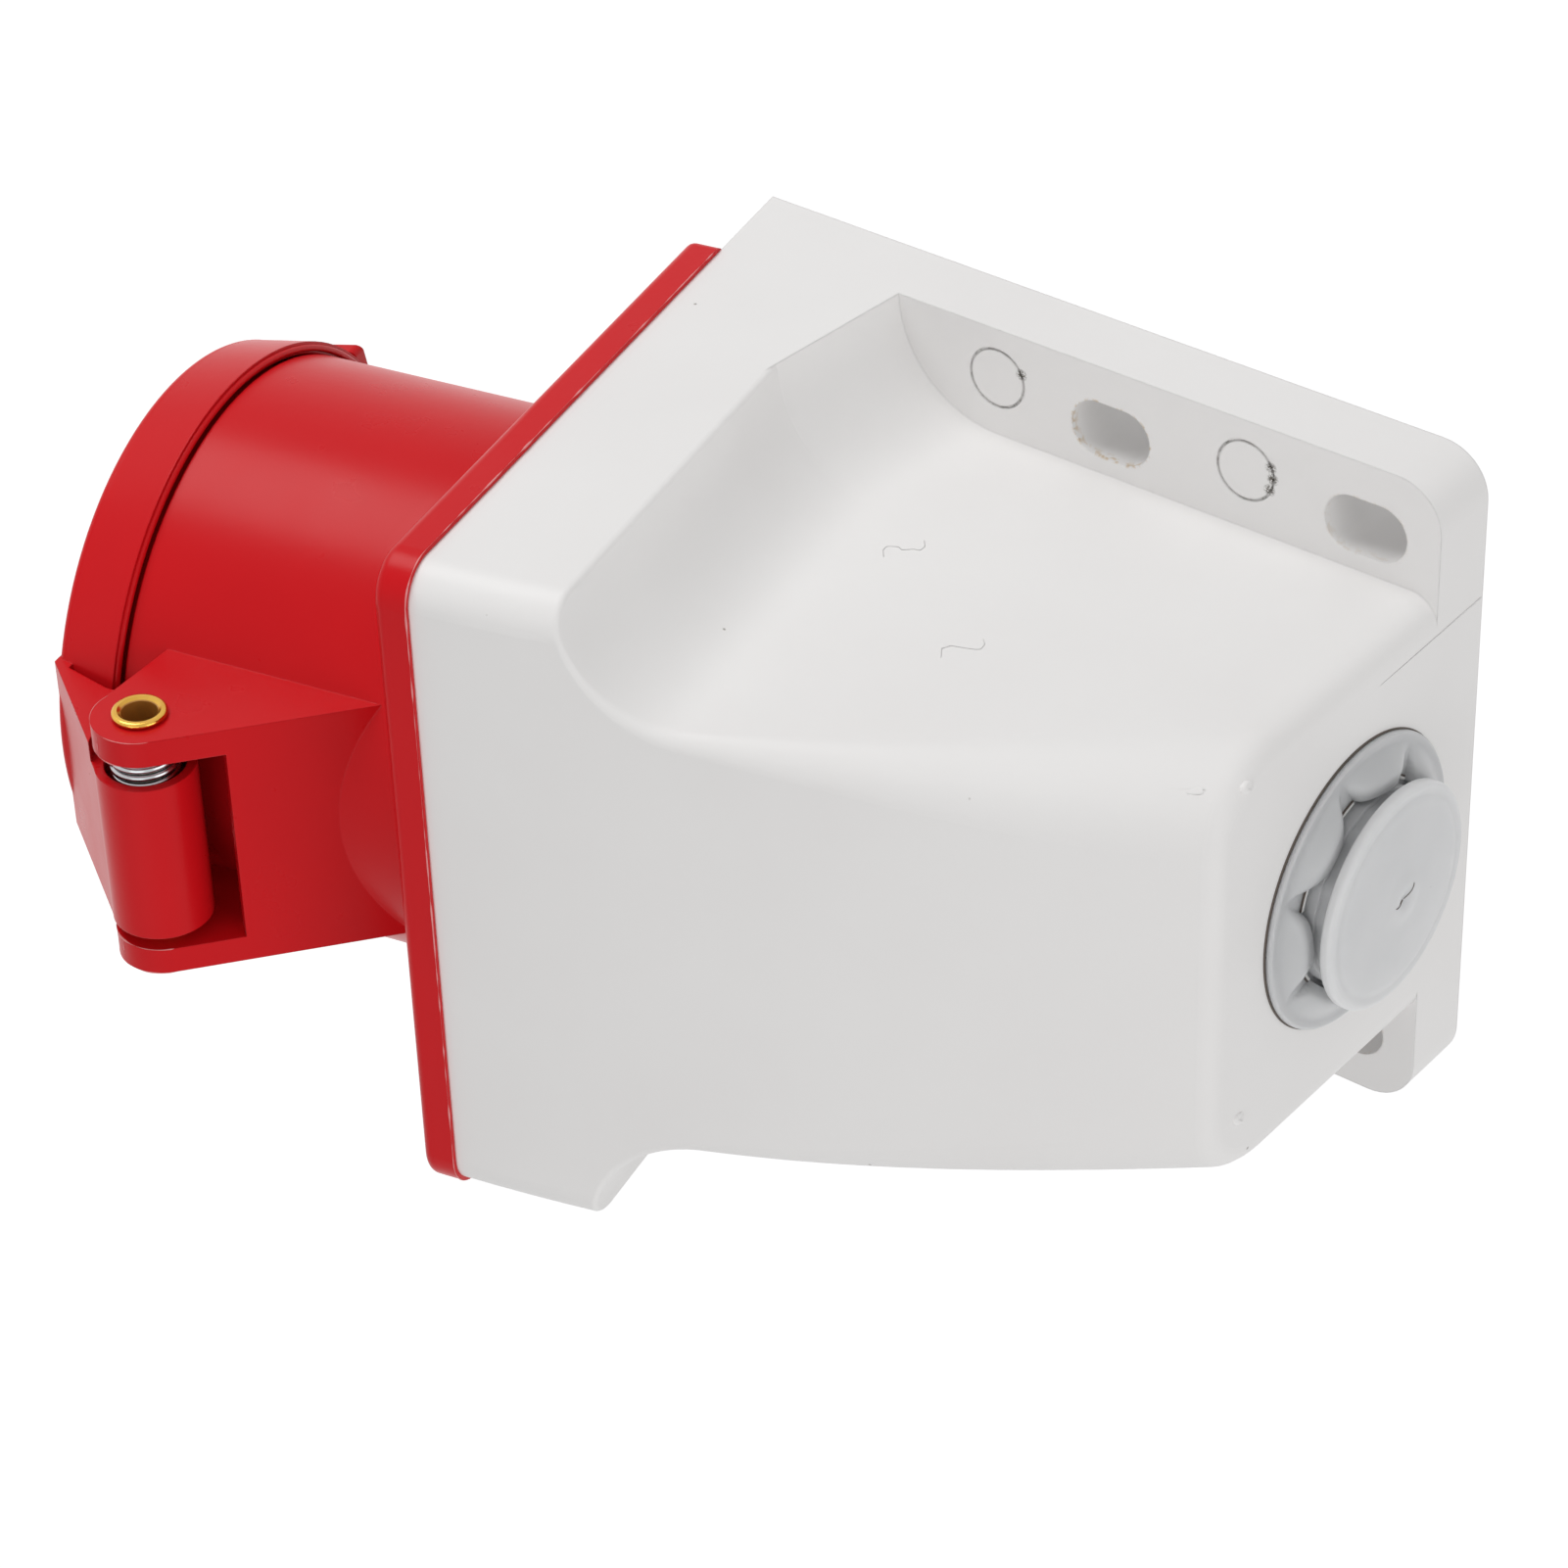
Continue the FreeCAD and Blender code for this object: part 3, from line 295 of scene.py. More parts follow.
def add_piece(name, points, faces, material, slot, body="base", sharp=40.0):
    """Make a piece from points in metres: equal points are joined, the faces are turned outwards,
    and edges that fold by more than the angle given stay sharp."""
    mesh = bpy.data.meshes.new(name)
    mesh.from_pydata(points.reshape(-1, 3).tolist(), [], faces.tolist())
    shell = bmesh.new()
    shell.from_mesh(mesh)
    bmesh.ops.remove_doubles(shell, verts=shell.verts, dist=1e-7)
    bmesh.ops.dissolve_degenerate(shell, edges=shell.edges, dist=1e-8)
    bmesh.ops.recalc_face_normals(shell, faces=shell.faces)
    shell.to_mesh(mesh)
    shell.free()
    mesh.shade_smooth()
    mesh.set_sharp_from_angle(angle=np.radians(sharp))
    mesh.materials.append(material)
    piece = bpy.data.objects.new(name, mesh)
    bpy.context.scene.collection.objects.link(piece)
    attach(piece, body)
    return piece


def bead(path, radius, sides=6):
    """A thin tube: at each point of the path a circle in the plane square to the path, its radius
    given point by point, falling to nothing at both ends so that the tube is closed."""
    path = np.asarray(path, float)
    along = np.gradient(path, axis=0)
    along /= np.linalg.norm(along, axis=1, keepdims=True)
    guide = np.where(np.abs(along[:, :1]) < 0.8, [[1.0, 0, 0]], [[0, 0, 1.0]])
    out = np.cross(along, guide)
    out /= np.linalg.norm(out, axis=1, keepdims=True)
    beside = np.cross(along, out)
    radius = np.broadcast_to(radius, len(path)).copy()
    radius[[0, -1]] = 0
    angle = np.arange(sides) * 2 * np.pi / sides
    circle = np.cos(angle)[:, None] * out[:, None] + np.sin(angle)[:, None] * beside[:, None]
    points = path[:, None] + radius[:, None, None] * circle
    return points, grid_faces(len(path), sides, round_cols=True)


def resample(path, step):
    """Points spaced evenly along a polyline, by interpolation on its running length."""
    path = np.asarray(path, float)
    length = np.r_[0, np.cumsum(np.linalg.norm(np.diff(path, axis=0), axis=1))]
    at = np.linspace(0, length[-1], max(3, int(length[-1] / step) + 1))
    return np.stack([np.interp(at, length, path[:, k]) for k in range(3)], 1)


ridge = resample([(ridge_x, -ridge_start, end_face), (ridge_x + ridge_skew, -ridge_reach, end_face)],
                 0.5 * mm)
ridge_radii = ridge_radius * np.linspace(1, ridge_end_share, len(ridge))
add_piece("parting_ridge", *bead(ridge, ridge_radii), white, "white_moulding")
for number, mark in enumerate(hair_marks, 1):
    mark = np.array(mark) * mm
    line = resample(np.c_[np.full(len(mark), recess_floor), -mark[:, 0], mark[:, 1]], 0.15 * mm)
    add_piece(f"hair_mark_{number}", *bead(line, hair_radius), white, "white_moulding")

# A nib is a dome on a straight root: its section is a quarter ellipse, and it is stretched away from
# the wall and slants across.
turns = np.linspace(0, 2 * np.pi, 24, endpoint=False)
rise = np.linspace(0, np.pi / 2, 7)
nib_r = nib_radius * np.r_[1, np.cos(rise)][:, None]
nib_up = np.r_[-nib_root, nib_rise * np.sin(rise)][:, None] * (1 + nib_slant * np.cos(turns))
for number, (x, depth, drop) in enumerate(nib_places, 1):
    nib = np.stack(np.broadcast_arrays(
        x * mm + nib_r * np.cos(turns), -depth * mm + nib_stretch * nib_r * np.sin(turns),
        end_face - drop * mm + nib_up), -1)
    add_piece(f"ejector_nib_{number}", nib, grid_faces(8, 24, round_cols=True), white,
              "white_moulding")


# Corner webs: thickenings of the same polyamide in the hollow's two upper front corners, where the
# outer edge is rounded most and the wall is thinnest. Their crowns lie level with the outside.
web_place = np.array([25.628, -50.587, 22.685])
web_out = np.array([0.727, -0.541, 0.423])
web_along = np.array([-0.016, 0.602, 0.798])
web_reach = (1.7, 0.55)
web_crown = 0.012
web_fall = 0.05
web_depth = 0.5
web_out /= np.linalg.norm(web_out)
web_across = np.cross(web_out, web_along)

# A web is a shallow lens: its top falls with the square of the distance from its middle, and its
# underside is a cone.
share = np.r_[np.linspace(0, 1, 9), 0][:, None]
fall = np.r_[web_crown - web_fall * np.linspace(0, 1, 9) ** 2, -web_depth][:, None]
for number, mirror in enumerate((-1, 1), 1):
    lens = (web_place + (share * np.cos(turns))[..., None] * web_reach[0] * web_along
            + (share * np.sin(turns))[..., None] * web_reach[1] * web_across
            + fall[..., None] * web_out)
    add_piece(f"corner_web_{number}", lens * mm * [mirror, 1, 1],
              grid_faces(10, 24, round_cols=True), white, "white_moulding")


# Cable grommet: a soft, milky elastomer membrane pushed into the entry hole. A flat lip lies on the
# end face and carries a ring of cushions round a neck, and a domed cap with a slit nipple closes it.
# Its groove grips the housing wall. The thin ring is painted darker: painted shade for the dark
# inside.
grommet_colour = "#DADADB"
grommet_shade = "#CFD0D1"
grommet_speck = "#8D8F8C"
ring_painted_shade = "#C2C3C4"
ring_shade_fade = (4.4 * mm, 3.0 * mm)

soft = moulded("moulded elastomer, milky", grommet_colour, grommet_shade, drift=7 * mm,
               speck=grommet_speck, pitch=6 * mm, share=0.10, gloss=0.30, grain=0.5 * mm,
               depth=0.008 * mm, edge=0.2 * mm, ior=1.45)
soft_tree, soft_shader, soft_where, soft_colour = paintwork(soft)
soft_shader.inputs["Subsurface Weight"].default_value = 0.85
soft_shader.inputs["Subsurface Radius"].default_value = (1.0, 1.0, 0.95)
soft_shader.inputs["Subsurface Scale"].default_value = 3.0 * mm
soft_axes = add_node(soft_tree, "ShaderNodeSeparateXYZ", {}, {0: soft_where})
# Painted shade: the elastomer is mixed towards a darker grey below the cap, nearer the end face.
ring_shade_mask = add_node(soft_tree, "ShaderNodeMapRange",
                     {"From Min": end_face + ring_shade_fade[0],
                      "From Max": end_face + ring_shade_fade[1], "To Max": 0.85},
                     {"Value": soft_axes.outputs[2]})
soft_shaded_layer = add_node(soft_tree, "ShaderNodeMix", {"data_type": "RGBA", 7: linear(ring_painted_shade)},
                      {0: ring_shade_mask.outputs[0], 6: soft_colour})
soft_tree.links.new(soft_shaded_layer.outputs[2], soft_shader.inputs["Base Color"])

# Sizes of the membrane's profile, in millimetres from the middle of the entry on the end face. A
# well runs round the foot of the neck, between it and the cushions.
entry_depth = 24.6
entry_radius = 14.3
wall = 3.0
wall_play = 0.02
lip_radius = 17.6
lip_height = 0.9
lip_rounding = 0.4
lip_foot = 0.25
lip_seat_width = 1.6
well_radius = 12.2
well_drop = 0.1
neck_radius = 11.3
neck_rounding = 0.5
neck_foot = 2.4
neck_foot_end = 2.3
neck_step = 0.35
neck_margin = 0.05
cap_radius = 13.5
cap_low = 4.3
cap_high = 5.7
cap_rounding = 0.5
cap_under_rounding = 0.4
dome = 0.9
rim_groove_radius, rim_groove_depth, rim_groove_width = 12.0, 0.16, 0.5
nipple_radius, nipple_height = 2.7, 0.35
dip_radius, dip_depth = 1.2, 0.5
back_radius = 16.2
back_end_radius = 15.6
back_height = 1.6
neck_wall = 1.1
cap_wall = 1.3
cap_middle_wall = 1.2

# The cushions and the flutes of the neck.
cushions = 7
first_valley = np.radians(-163)
cushion_rise = 2.1
cushion_start = 0.15
cushion_end = 1.0
cushion_slope = 3.2
cushion_inner_width = 0.70
cushion_widening = 4.4
flute_depth = 0.12
flutes_per_cushion = 3
grommet_steps = 336


def round_corner(centre, radius, start, stop, count=6):
    """Points of an arc in the profile plane, as radius and height."""
    angle = np.radians(np.linspace(start, stop, count))
    return np.c_[centre[0] + radius * np.cos(angle), centre[1] + radius * np.sin(angle)]


def cap_surface(r):
    """Height of the cap's top: a parabola, less a round groove inside the rim, plus a flat-topped
    nipple as a steep bell curve, less the dip in its middle."""
    groove = rim_groove_depth * np.exp(-((r - rim_groove_radius) / rim_groove_width) ** 2)
    nipple = nipple_height * np.exp(-(r / nipple_radius) ** 4)
    dip = dip_depth * np.exp(-(r / dip_radius) ** 2)
    return cap_high + dome * (1 - (r / cap_radius) ** 2) - groove + nipple - dip


def on_grommet(x, y, h):
    """Points in metres from millimetres across, towards the wall, and out of the end face, all from
    the middle of the entry."""
    x, y, h = np.broadcast_arrays(x, y, h)
    return np.stack([x * mm, (y - entry_depth) * mm, end_face + h * mm], -1)


cap_radii = np.linspace(0, cap_radius - cap_rounding, 48)
cushion_radii = np.linspace(well_radius + cushion_start, lip_radius - lip_rounding, 30)
profile = np.concatenate([
    np.c_[cap_radii, cap_surface(cap_radii)],
    round_corner((cap_radius - cap_rounding, cap_high - cap_rounding), cap_rounding, 80, 0),
    round_corner((cap_radius - cap_under_rounding, cap_low + cap_under_rounding),
                 cap_under_rounding, 0, -90),
    [(neck_radius + neck_rounding, cap_low)],
    round_corner((neck_radius + neck_rounding, cap_low - neck_rounding), neck_rounding, 90, 180),
    [(neck_radius, neck_foot), (neck_radius + neck_step, neck_foot_end),
     (neck_radius + neck_step, lip_height - well_drop), (well_radius, lip_height - well_drop)],
    np.c_[cushion_radii, np.full(30, lip_height)],
    round_corner((lip_radius - lip_rounding, lip_height - lip_rounding), lip_rounding, 80, 0),
    [(lip_radius, lip_foot), (entry_radius + lip_seat_width, wall_play), (entry_radius, wall_play),
     (entry_radius, -wall - wall_play), (back_radius, -wall - wall_play),
     (back_end_radius, -wall - back_height), (neck_radius - neck_wall, -wall - back_height),
     (neck_radius - neck_wall, cap_high - cap_wall), (0, cap_high - cap_middle_wall)],
])

# The profile is turned round the entry. Each cushion swells by a half ellipse across its width,
# times a smooth step along the radius, and the neck's radius waves with the turn.
around = np.linspace(0, 2 * np.pi, grommet_steps, endpoint=False)
r, h = profile[:, :1], profile[:, 1:]
on_cushions = (np.abs(h - lip_height) < 1e-6) & (r > well_radius)
from_middle = 2 * ((around - first_valley) * cushions / (2 * np.pi) % 1) - 1
half_width = (cushion_inner_width + (1 - cushion_inner_width)
              * np.clip((r - well_radius) / cushion_widening, 0, 1))
crown = np.sqrt(np.clip(1 - (from_middle / half_width) ** 2, 0, 1))
foot = np.clip((lip_radius - cushion_end - r) / cushion_slope, 0, 1)
h = h + on_cushions * cushion_rise * crown * foot * foot * (3 - 2 * foot)
on_neck = ((r > neck_radius - neck_margin) & (r < neck_radius + neck_step + neck_margin)
           & (h > lip_height) & (h < neck_foot + neck_margin))
r = r + on_neck * flute_depth * np.cos(flutes_per_cushion * cushions * around)
membrane = add_piece("grommet_membrane", on_grommet(r * np.cos(around), r * np.sin(around), h),
                     grid_faces(len(profile), grommet_steps, round_cols=True), soft,
                     "grommet_rubber", sharp=50.0)
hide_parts("cable_grommet")


# Cuts and gaps of the grommet, drawn as thin beads: a crooked slit through the nipple, a vent at the
# foot of each valley with a pale edge beside it, and the narrow shadow gap under the lip. The dark
# beads are painted shade, because no light comes out of the cuts, and the pale edge is a painted
# highlight.
# Colours of the painted shade in the slit and the vents.
slit_shade_colour = "#6B6058"
vent_shade_colour = "#4E4A46"
# The two tones of the painted highlight on the thin edge beside each vent.
highlight_edge_colour = "#F4F3F1"
highlight_edge_shade = "#E9E8E6"
# Each arm of the slit: its direction in degrees, its length in mm, and its bend in radians.
slit_arms = ((104, 2.3, 0.5), (292, 2.0, -0.4), (252, 0.9, 0.3))
slit_start = 0.02
slit_lift = 0.015
slit_radius = 0.06
vent_half_angle = 0.125
gap_radius = 17.62
gap_height = 0.06
gap_thickness = 0.14

# Painted shade: the slit, the vents and the lip gap are dark beads where there is only shade.
cut_shade = moulded("painted shade of the cuts", slit_shade_colour, vent_shade_colour, drift=2 * mm, speck=vent_shade_colour,
              pitch=3 * mm, share=0.1, gloss=0.6, grain=0.3 * mm, depth=0.006 * mm,
              edge=0.02 * mm, ior=1.45)
# A painted highlight: the thin edge beside each vent is drawn brighter than the elastomer.
highlight_edge = moulded("thin elastomer edge, painted highlight", highlight_edge_colour, highlight_edge_shade, drift=1 * mm,
               speck=highlight_edge_colour, pitch=3 * mm, share=0.0, gloss=0.35, grain=0.3 * mm,
               depth=0.004 * mm, edge=0.02 * mm, ior=1.45)
# Name, radius, height and thickness in mm, and material of the two lines at each valley.
# The first line is painted shade in the vent, the second a painted highlight on its thin edge.
vent_lines = (("vent", 12.62, 0.98, 0.13, cut_shade), ("vent_highlight", 12.33, 1.0, 0.19, highlight_edge))


def torus(radius, height, thickness, steps):
    """Across, up and out of a round bead: a circle of the thickness given, turned at the radius."""
    around = np.linspace(0, 2 * np.pi, steps, endpoint=False)
    r = radius + thickness * np.cos(turns[:, None])
    return r * np.cos(around), r * np.sin(around), height + thickness * np.sin(turns[:, None])


# The slit is a dark bead laid on the cap: painted shade in the cut.
for number, (angle, length, sway) in enumerate(slit_arms, 1):
    t = np.linspace(slit_start, 1, 14)
    heading = np.radians(angle) + sway * t
    reach = length * t
    arm = on_grommet(reach * np.cos(heading), reach * np.sin(heading),
                     cap_surface(reach) + slit_lift)
    add_piece(f"grommet_slit_{number}", *bead(arm, slit_radius * mm), cut_shade, "grommet_rubber")
for number in range(cushions):
    valley = first_valley + number * 2 * np.pi / cushions
    span = valley + np.linspace(-vent_half_angle, vent_half_angle, 12)
    for name, radius, height, thickness, material in vent_lines:
        bar = on_grommet(radius * np.cos(span), radius * np.sin(span), height)
        add_piece(f"grommet_{name}_{number + 1}", *bead(bar, thickness * mm), material,
                  "grommet_rubber")
# A dark ring painted as the shadow in the gap under the lip.
add_piece("lip_gap", on_grommet(*torus(gap_radius, gap_height, gap_thickness, 180)),
          grid_faces(24, 180, True, True), cut_shade, "grommet_rubber")


# Flange and collar: one moulding in signal red polyamide, screwed to the housing through its
# corners, with the hinge ears on the collar. The gloss is higher than the housing's. Thin pale flash
# is left along the parting edges, where the pigment is stretched.
red_light = "#D0151C"
red_shade = "#C8121A"
red_speck = "#E08A88"
flash_light = "#E9A5A4"
flash_shade = "#D96A6C"
flash_speck = "#F6DCDC"
flange_tilt = np.radians(12.2)
slot_centre_height = 72.45

red = moulded("moulded polyamide, signal red", red_light, red_shade, drift=16 * mm,
              speck=red_speck, pitch=4 * mm, share=0.12, gloss=0.29, grain=0.8 * mm,
              depth=0.010 * mm, edge=0.25 * mm, specular=0.12)
flash = moulded("moulding flash, stretched red polyamide", flash_light, flash_shade,
                drift=0.9 * mm, speck=flash_speck, pitch=1 * mm, share=0.3, gloss=0.4,
                grain=0.2 * mm, depth=0.004 * mm, edge=0.02 * mm)
dress(red, "flange_collar")


def from_flange(x, s, h):
    """Points in metres from millimetres across, along and out of the tilted flange: the along and
    out directions are turned by the flange's tilt about X."""
    x, s, h = np.broadcast_arrays(x, s, h)
    depth = s * np.cos(flange_tilt) + h * np.sin(flange_tilt)
    height = s * np.sin(flange_tilt) - h * np.cos(flange_tilt) - slot_centre_height
    return np.stack([x, -depth, height], -1) * mm


def ragged(count, radius, seed):
    """Radii of a broken flash line: noise from a fixed seed, smoothed by a bell-shaped window of
    nine points, scaled, and kept between 0.12 and 1.3 times the radius given."""
    noise = np.random.default_rng(seed).normal(0, 1, count + 8)
    smooth = np.convolve(noise, np.hanning(9) / np.hanning(9).sum(), "valid")[:count]
    return radius * np.clip(0.35 + 0.9 * smooth, 0.12, 1.3)


def flash_line(name, line, radius, seed, body="base"):
    """A piece of broken flash: a bead along the line, whose radii are ragged about the one given."""
    add_piece(name, *bead(line, ragged(len(line), radius, seed)), flash, "red_moulding", body)


# The flange's back edge: up one side, round both far corners and down the other side.
flange_side = 43.0
flange_near = 14.0
flange_far = 89.2
flange_corner = 5.1
flange_flash_height = 0.06
flange_flash_radius = 0.10 * mm
quarter = np.linspace(0, np.pi / 2, 12)
edge_x = np.r_[-flange_side, -flange_side + flange_corner * (1 - np.cos(quarter)),
               flange_side - flange_corner * (1 - np.sin(quarter)), flange_side]
edge_s = np.r_[flange_near, flange_far - flange_corner * (1 - np.sin(quarter)),
               flange_far - flange_corner * (1 - np.cos(quarter)), flange_near]
flange_edge = resample(from_flange(edge_x, edge_s, flange_flash_height), 0.45 * mm)
flash_line("flange_flash", flange_edge, flange_flash_radius, 3)

# The ears: flash round the nose of each of their four faces, and a parting mark across each ear.
hinge_s = 89.6
hinge_h = 35.6
ear_radius = 5.6
ear_faces = (-15.3, -12.0, 13.4, 16.7)
ear_flash_radius = 0.08 * mm
ear_parting_angle = 0.5
parting_radius = 0.06 * mm
nose = np.radians(np.linspace(-42, 110, 40))
for number, x in enumerate(ear_faces, 1):
    arc = from_flange(x, hinge_s + ear_radius * np.cos(nose), hinge_h + ear_radius * np.sin(nose))
    flash_line(f"ear_flash_{number}", arc, ear_flash_radius, 10 + number)
for number, faces in enumerate((ear_faces[:2], ear_faces[2:]), 1):
    across = from_flange(np.array(faces), hinge_s + ear_radius * np.cos(ear_parting_angle),
                         hinge_h + ear_radius * np.sin(ear_parting_angle))
    flash_line(f"ear_parting_{number}", resample(across, 0.15 * mm), parting_radius, 20 + number)


# Lid: the same red polyamide, turned on the rivet and held shut by the spring. The barrel of its
# hinge has a parting line along it, from the two halves of the slide that formed it.
barrel_radius = 5.8
barrel_ends = np.array([-8.8, 11.6])
barrel_parting_angle = 1.15

dress(red, "lid")
barrel_line = from_flange(barrel_ends, hinge_s + barrel_radius * np.cos(barrel_parting_angle),
                          hinge_h + barrel_radius * np.sin(barrel_parting_angle))
flash_line("barrel_parting", resample(barrel_line, 0.3 * mm), parting_radius, 31, "lid")


# Bead of the lid: a low round bead of the same polyamide on the rear rim of the skirt, which closes
# most of the groove between the skirt and the collar's shoulder. It is moulded with the lid.
collar_centre = 48.5
bead_radius = 33.15
bead_height = 45.25
bead_thickness = 0.42

x, s, h = torus(bead_radius, bead_height, bead_thickness, 240)
add_piece("lid_bead", from_flange(x, collar_centre + s, h), grid_faces(24, 240, True, True), red,
          "red_moulding", "lid")


# Seals: black elastomer rings, extruded and joined for the flange, moulded for the lid. They are
# matt, with a slight bloom.
seal = moulded("black elastomer seal", "#232324", "#1B1B1C", drift=6 * mm, speck="#3A3A3A",
               pitch=3 * mm, share=0.2, gloss=0.62, grain=0.4 * mm, depth=0.010 * mm,
               edge=0.1 * mm, ior=1.5)
dress(seal, "flange_gasket", "lid_seal")


# Contact carrier and terminal block: dark grey glass-filled polyamide. The glass fibres show as a
# fine pale fleck in a matt surface.
dark = moulded("glass-filled polyamide, dark grey", "#45474A", "#3B3D40", drift=12 * mm,
               speck="#6A6C6E", pitch=1.2 * mm, share=0.5, gloss=0.5, grain=0.3 * mm,
               depth=0.012 * mm, edge=0.25 * mm)
dress(dark, "contact_carrier", "terminal_block")


# Contacts: turned brass. The tool leaves rings round each pin, finer than they are drawn here, and
# the metal dulls in patches.
def metal(name, light, shade, drift, gloss, spread, line, depth, stretch):
    """Bare metal: two tones in patches, uneven gloss, and tool lines as a noise squeezed along one
    direction, so that it draws out into lines across it."""
    material = bpy.data.materials.new(name)
    material.use_nodes = True
    tree = material.node_tree
    shader = tree.nodes["Principled BSDF"]
    shader.inputs["Metallic"].default_value = 1.0
    where = add_node(tree, "ShaderNodeTexCoord").outputs["Object"]
    slow = add_node(tree, "ShaderNodeTexNoise", {"Scale": 1 / drift, "Detail": 4.0},
                    {"Vector": where})
    tone = add_node(tree, "ShaderNodeMix",
                    {"data_type": "RGBA", 6: linear(light), 7: linear(shade)},
                    {0: slow.outputs[0]})
    tree.links.new(tone.outputs[2], shader.inputs["Base Color"])
    drawn = add_node(tree, "ShaderNodeMapping", {"Scale": stretch}, {"Vector": where})
    lines = add_node(tree, "ShaderNodeTexNoise", {"Scale": 1 / line, "Detail": 3.0},
                     {"Vector": drawn.outputs[0]})
    rough = add_node(tree, "ShaderNodeMapRange",
                     {"To Min": gloss - spread, "To Max": gloss + spread},
                     {"Value": lines.outputs[0]})
    tree.links.new(rough.outputs[0], shader.inputs["Roughness"])
    relief = add_node(tree, "ShaderNodeBump", {"Strength": 1.0, "Distance": depth},
                      {"Height": lines.outputs[0]})
    tree.links.new(relief.outputs[0], shader.inputs["Normal"])
    return material


turned_brass = metal("turned brass", "#D6B36A", "#C29C50", drift=5 * mm, gloss=0.26, spread=0.08,
                     line=0.25 * mm, depth=0.004 * mm, stretch=(0.1, 0.2, 1))
dress(turned_brass, "pin_earth", "pin_neutral", "pin_l3", "pin_l2", "pin_l1")


# Screws: zinc-plated steel, cold headed, with a cross recess. The passivated zinc is slightly blue
# and yellow in patches.
zinc = metal("zinc-plated steel", "#B9BEC2", "#A9A594", drift=3 * mm, gloss=0.33, spread=0.1,
             line=0.5 * mm, depth=0.004 * mm, stretch=(1, 1, 1))
dress(zinc, "flange_screw_1", "flange_screw_2", "flange_screw_3", "flange_screw_4", "centre_screw",
      "carrier_screw_1", "carrier_screw_2", "terminal_screw_earth", "terminal_screw_neutral",
      "terminal_screw_l3", "terminal_screw_l2", "terminal_screw_l1")


# Hinge rivet: a drawn brass tube with both rims rolled over the ears. The rolling tool polishes the
# rims, and the bore, which it doesn't touch, stays dull and brown.
bore_colour = "#B9813A"
bore_radius = 2.2 * mm
bore_metallic = 0.25

rivet_brass = metal("rolled brass tube", "#E0B65A", "#C8953C", drift=2.5 * mm, gloss=0.2,
                    spread=0.06, line=0.3 * mm, depth=0.003 * mm, stretch=(1, 0.15, 0.15))
rivet_tree, rivet_shader, rivet_where, rivet_tone = paintwork(rivet_brass)
hinge_axis = from_flange(0.0, hinge_s, hinge_h)
rivet_axes = add_node(rivet_tree, "ShaderNodeSeparateXYZ", {}, {0: rivet_where})
rivet_plane = add_node(rivet_tree, "ShaderNodeCombineXYZ", {},
                       {1: rivet_axes.outputs[1], 2: rivet_axes.outputs[2]})
from_axis = add_node(rivet_tree, "ShaderNodeVectorMath",
                     {"operation": "DISTANCE", 1: (0, hinge_axis[1], hinge_axis[2])},
                     {0: rivet_plane.outputs[0]})
in_bore = add_node(rivet_tree, "ShaderNodeMath", {"operation": "LESS_THAN", 1: bore_radius},
                   {0: from_axis.outputs["Value"]})
dulled = add_node(rivet_tree, "ShaderNodeMapRange", {"To Min": 1.0, "To Max": bore_metallic},
                  {"Value": in_bore.outputs[0]})
browned = add_node(rivet_tree, "ShaderNodeMix", {"data_type": "RGBA", 7: linear(bore_colour)},
                   {0: in_bore.outputs[0], 6: rivet_tone})
rivet_tree.links.new(browned.outputs[2], rivet_shader.inputs["Base Color"])
rivet_tree.links.new(dulled.outputs[0], rivet_shader.inputs["Metallic"])
dress(rivet_brass, "hinge_rivet")


# Lid spring: cold-drawn spring steel wire, wound round the rivet behind the upper ear. Drawing
# leaves the wire bright, with fine lines.
spring_steel = metal("drawn spring steel", "#C4C6C8", "#A9ABAE", drift=2 * mm, gloss=0.22,
                     spread=0.06, line=0.2 * mm, depth=0.003 * mm, stretch=(0.3, 1, 1))
dress(spring_steel, "lid_spring")


# Floor and light: a pale floor well below the wall-mounted part, and white surroundings. The key
# lamp is a soft box low at the near side, and two larger, weaker ones stand before the front and
# over the end face.
floor_drop = 700 * mm
floor_reach = 3.0
paper_colour = "#BEBEBE"
paper_glow = 0.72
room_strength = 0.55
backdrop_strength = 1.0


def seen_directly(tree):
    """One for camera, glossy and transmission rays, and nought for the rays that light things."""
    rays = add_node(tree, "ShaderNodeLightPath")
    seen = rays.outputs["Is Camera Ray"]
    for kind in ("Is Glossy Ray", "Is Transmission Ray"):
        seen = add_node(tree, "ShaderNodeMath", {"operation": "MAXIMUM"},
                        {0: seen, 1: rays.outputs[kind]}).outputs[0]
    return seen


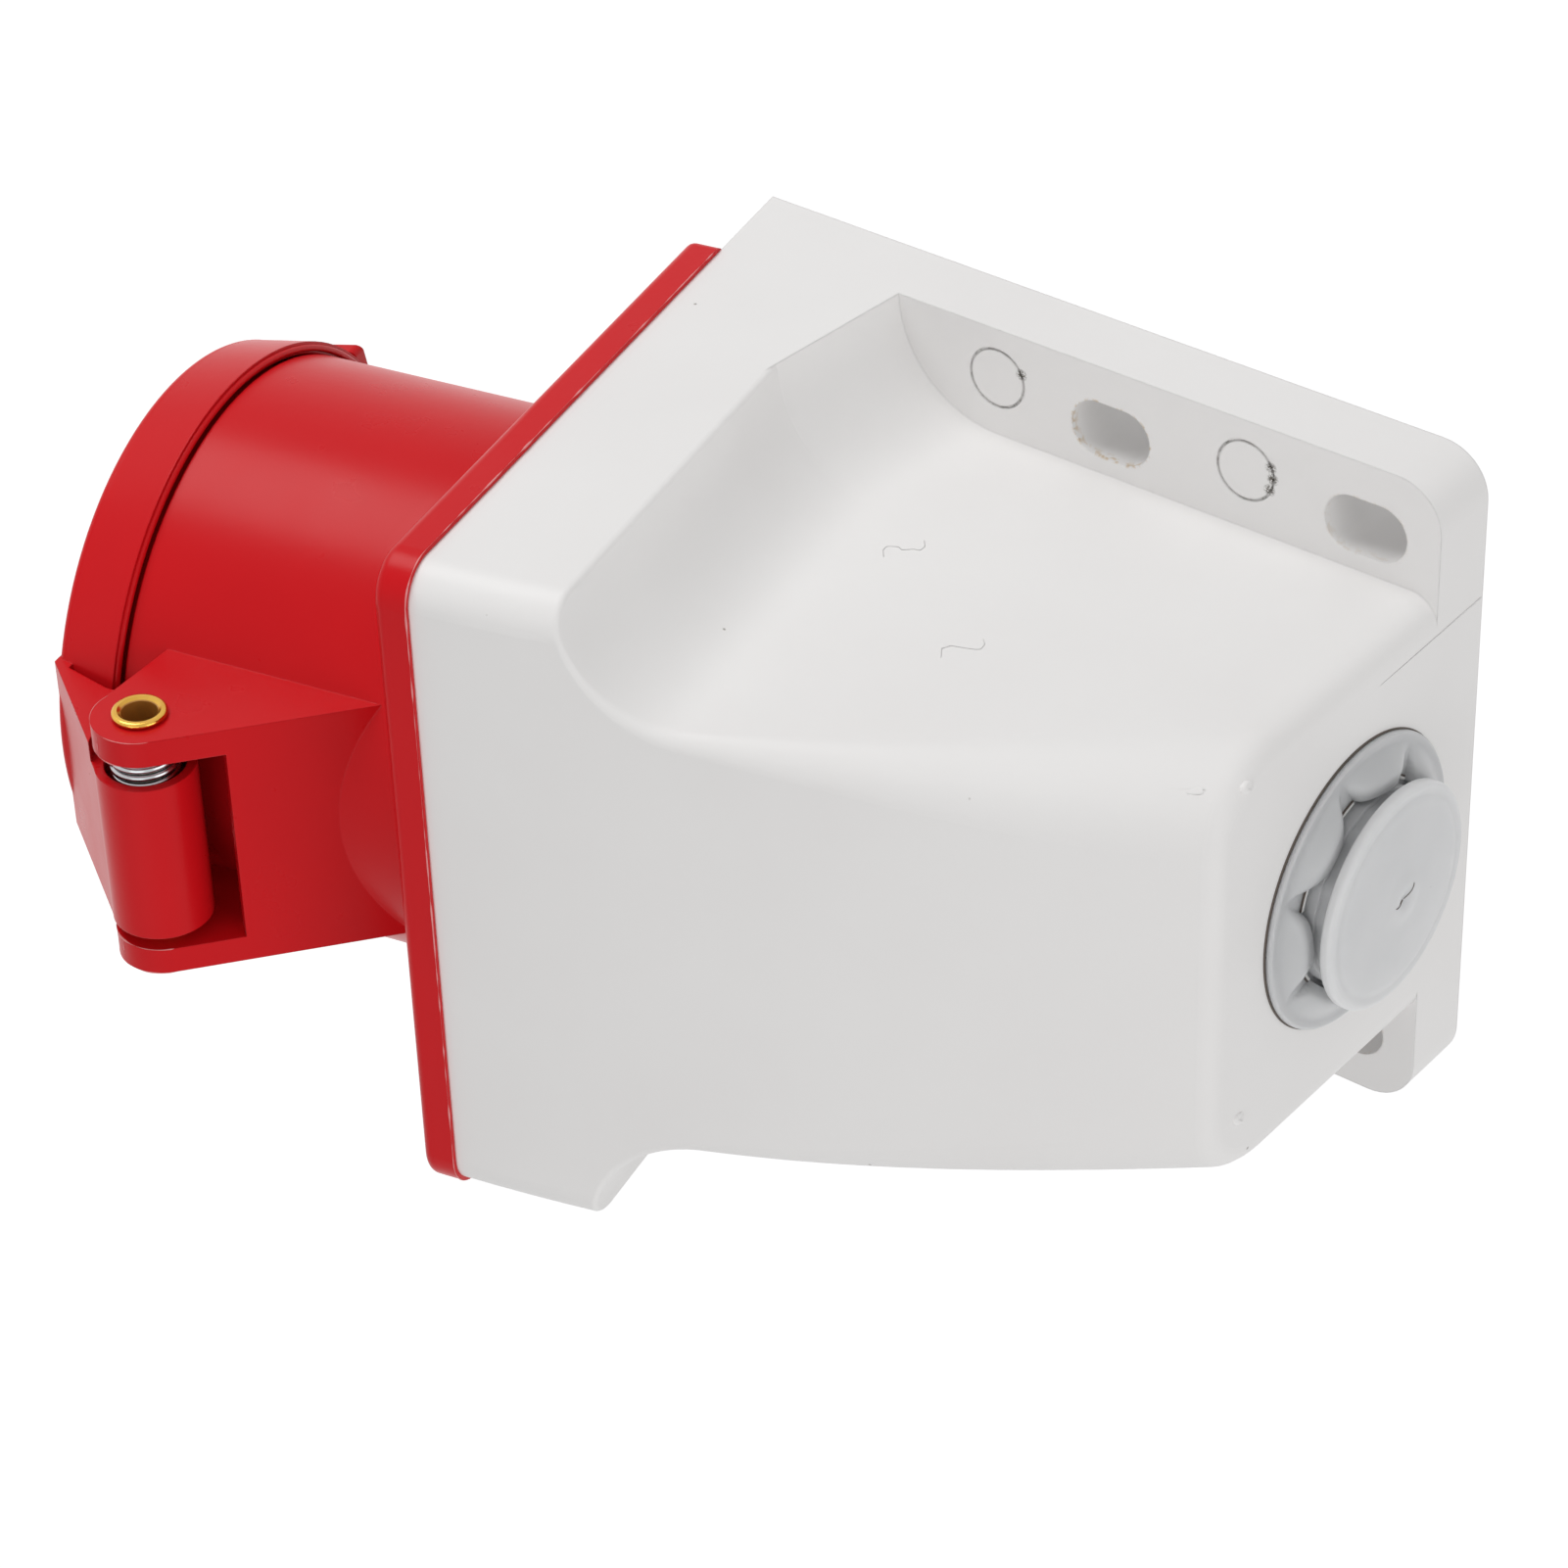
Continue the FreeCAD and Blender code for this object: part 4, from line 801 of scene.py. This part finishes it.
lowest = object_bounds()[0]
floor_points = np.array([(-1, -1, 0), (1, -1, 0), (1, 1, 0), (-1, 1, 0)]) * floor_reach
floor_points[:, 2] = lowest[2] - floor_drop
floor_mesh = bpy.data.meshes.new("floor")
floor_mesh.from_pydata(floor_points.tolist(), [], [(0, 1, 2, 3)])
floor = bpy.data.objects.new("floor", floor_mesh)
bpy.context.scene.collection.objects.link(floor)
paper = bpy.data.materials.new("white studio paper")
paper.use_nodes = True
paper_tree = paper.node_tree
paper_shader = paper_tree.nodes["Principled BSDF"]
paper_shader.inputs["Base Color"].default_value = linear(paper_colour)
paper_shader.inputs["Roughness"].default_value = 0.9
paper_shader.inputs["Emission Color"].default_value = (1, 1, 1, 1)
glow = add_node(paper_tree, "ShaderNodeMath", {"operation": "MULTIPLY", 1: paper_glow},
                {0: seen_directly(paper_tree)})
paper_tree.links.new(glow.outputs[0], paper_shader.inputs["Emission Strength"])
floor_mesh.materials.append(paper)

world = bpy.data.worlds.new("studio")
bpy.context.scene.world = world
world.use_nodes = True
air = world.node_tree
for node in list(air.nodes):
    air.nodes.remove(node)
room = add_node(air, "ShaderNodeBackground", {"Color": (1, 1, 1, 1), "Strength": room_strength})
backdrop = add_node(air, "ShaderNodeBackground",
                    {"Color": (1, 1, 1, 1), "Strength": backdrop_strength})
choice = add_node(air, "ShaderNodeMixShader", {},
                  {0: seen_directly(air), 1: room.outputs[0], 2: backdrop.outputs[0]})
add_node(air, "ShaderNodeOutputWorld", {}, {"Surface": choice.outputs[0]})

# Each soft box: its place and the length of its side in metres, and its power in watts.
soft_boxes = (
    ("key_soft_box", (-0.88, -0.12, -0.46), 0.50, 4.6),
    ("front_soft_box", (0.15, -1.1, 0.25), 0.8, 2.4),
    ("end_soft_box", (-0.1, -0.2, 1.1), 0.7, 2.7),
)
aim = np.array([0.0, -0.05, -0.03])
for name, place, size, power in soft_boxes:
    lamp = bpy.data.lights.new(name, "AREA")
    lamp.shape = "SQUARE"
    lamp.size = size
    lamp.energy = power
    soft_box = bpy.data.objects.new(name, lamp)
    back = np.array(place) - aim
    back /= np.linalg.norm(back)
    right = np.cross([0, 0, 1.0] if abs(back[2]) < 0.9 else [0, 1.0, 0], back)
    right /= np.linalg.norm(right)
    lamp_pose = np.eye(4)
    lamp_pose[:3] = np.stack([right, np.cross(back, right), back, place], 1)
    soft_box.matrix_world = Matrix(lamp_pose.tolist())
    bpy.context.scene.collection.objects.link(soft_box)

bpy.context.scene.view_settings.view_transform = "Standard"
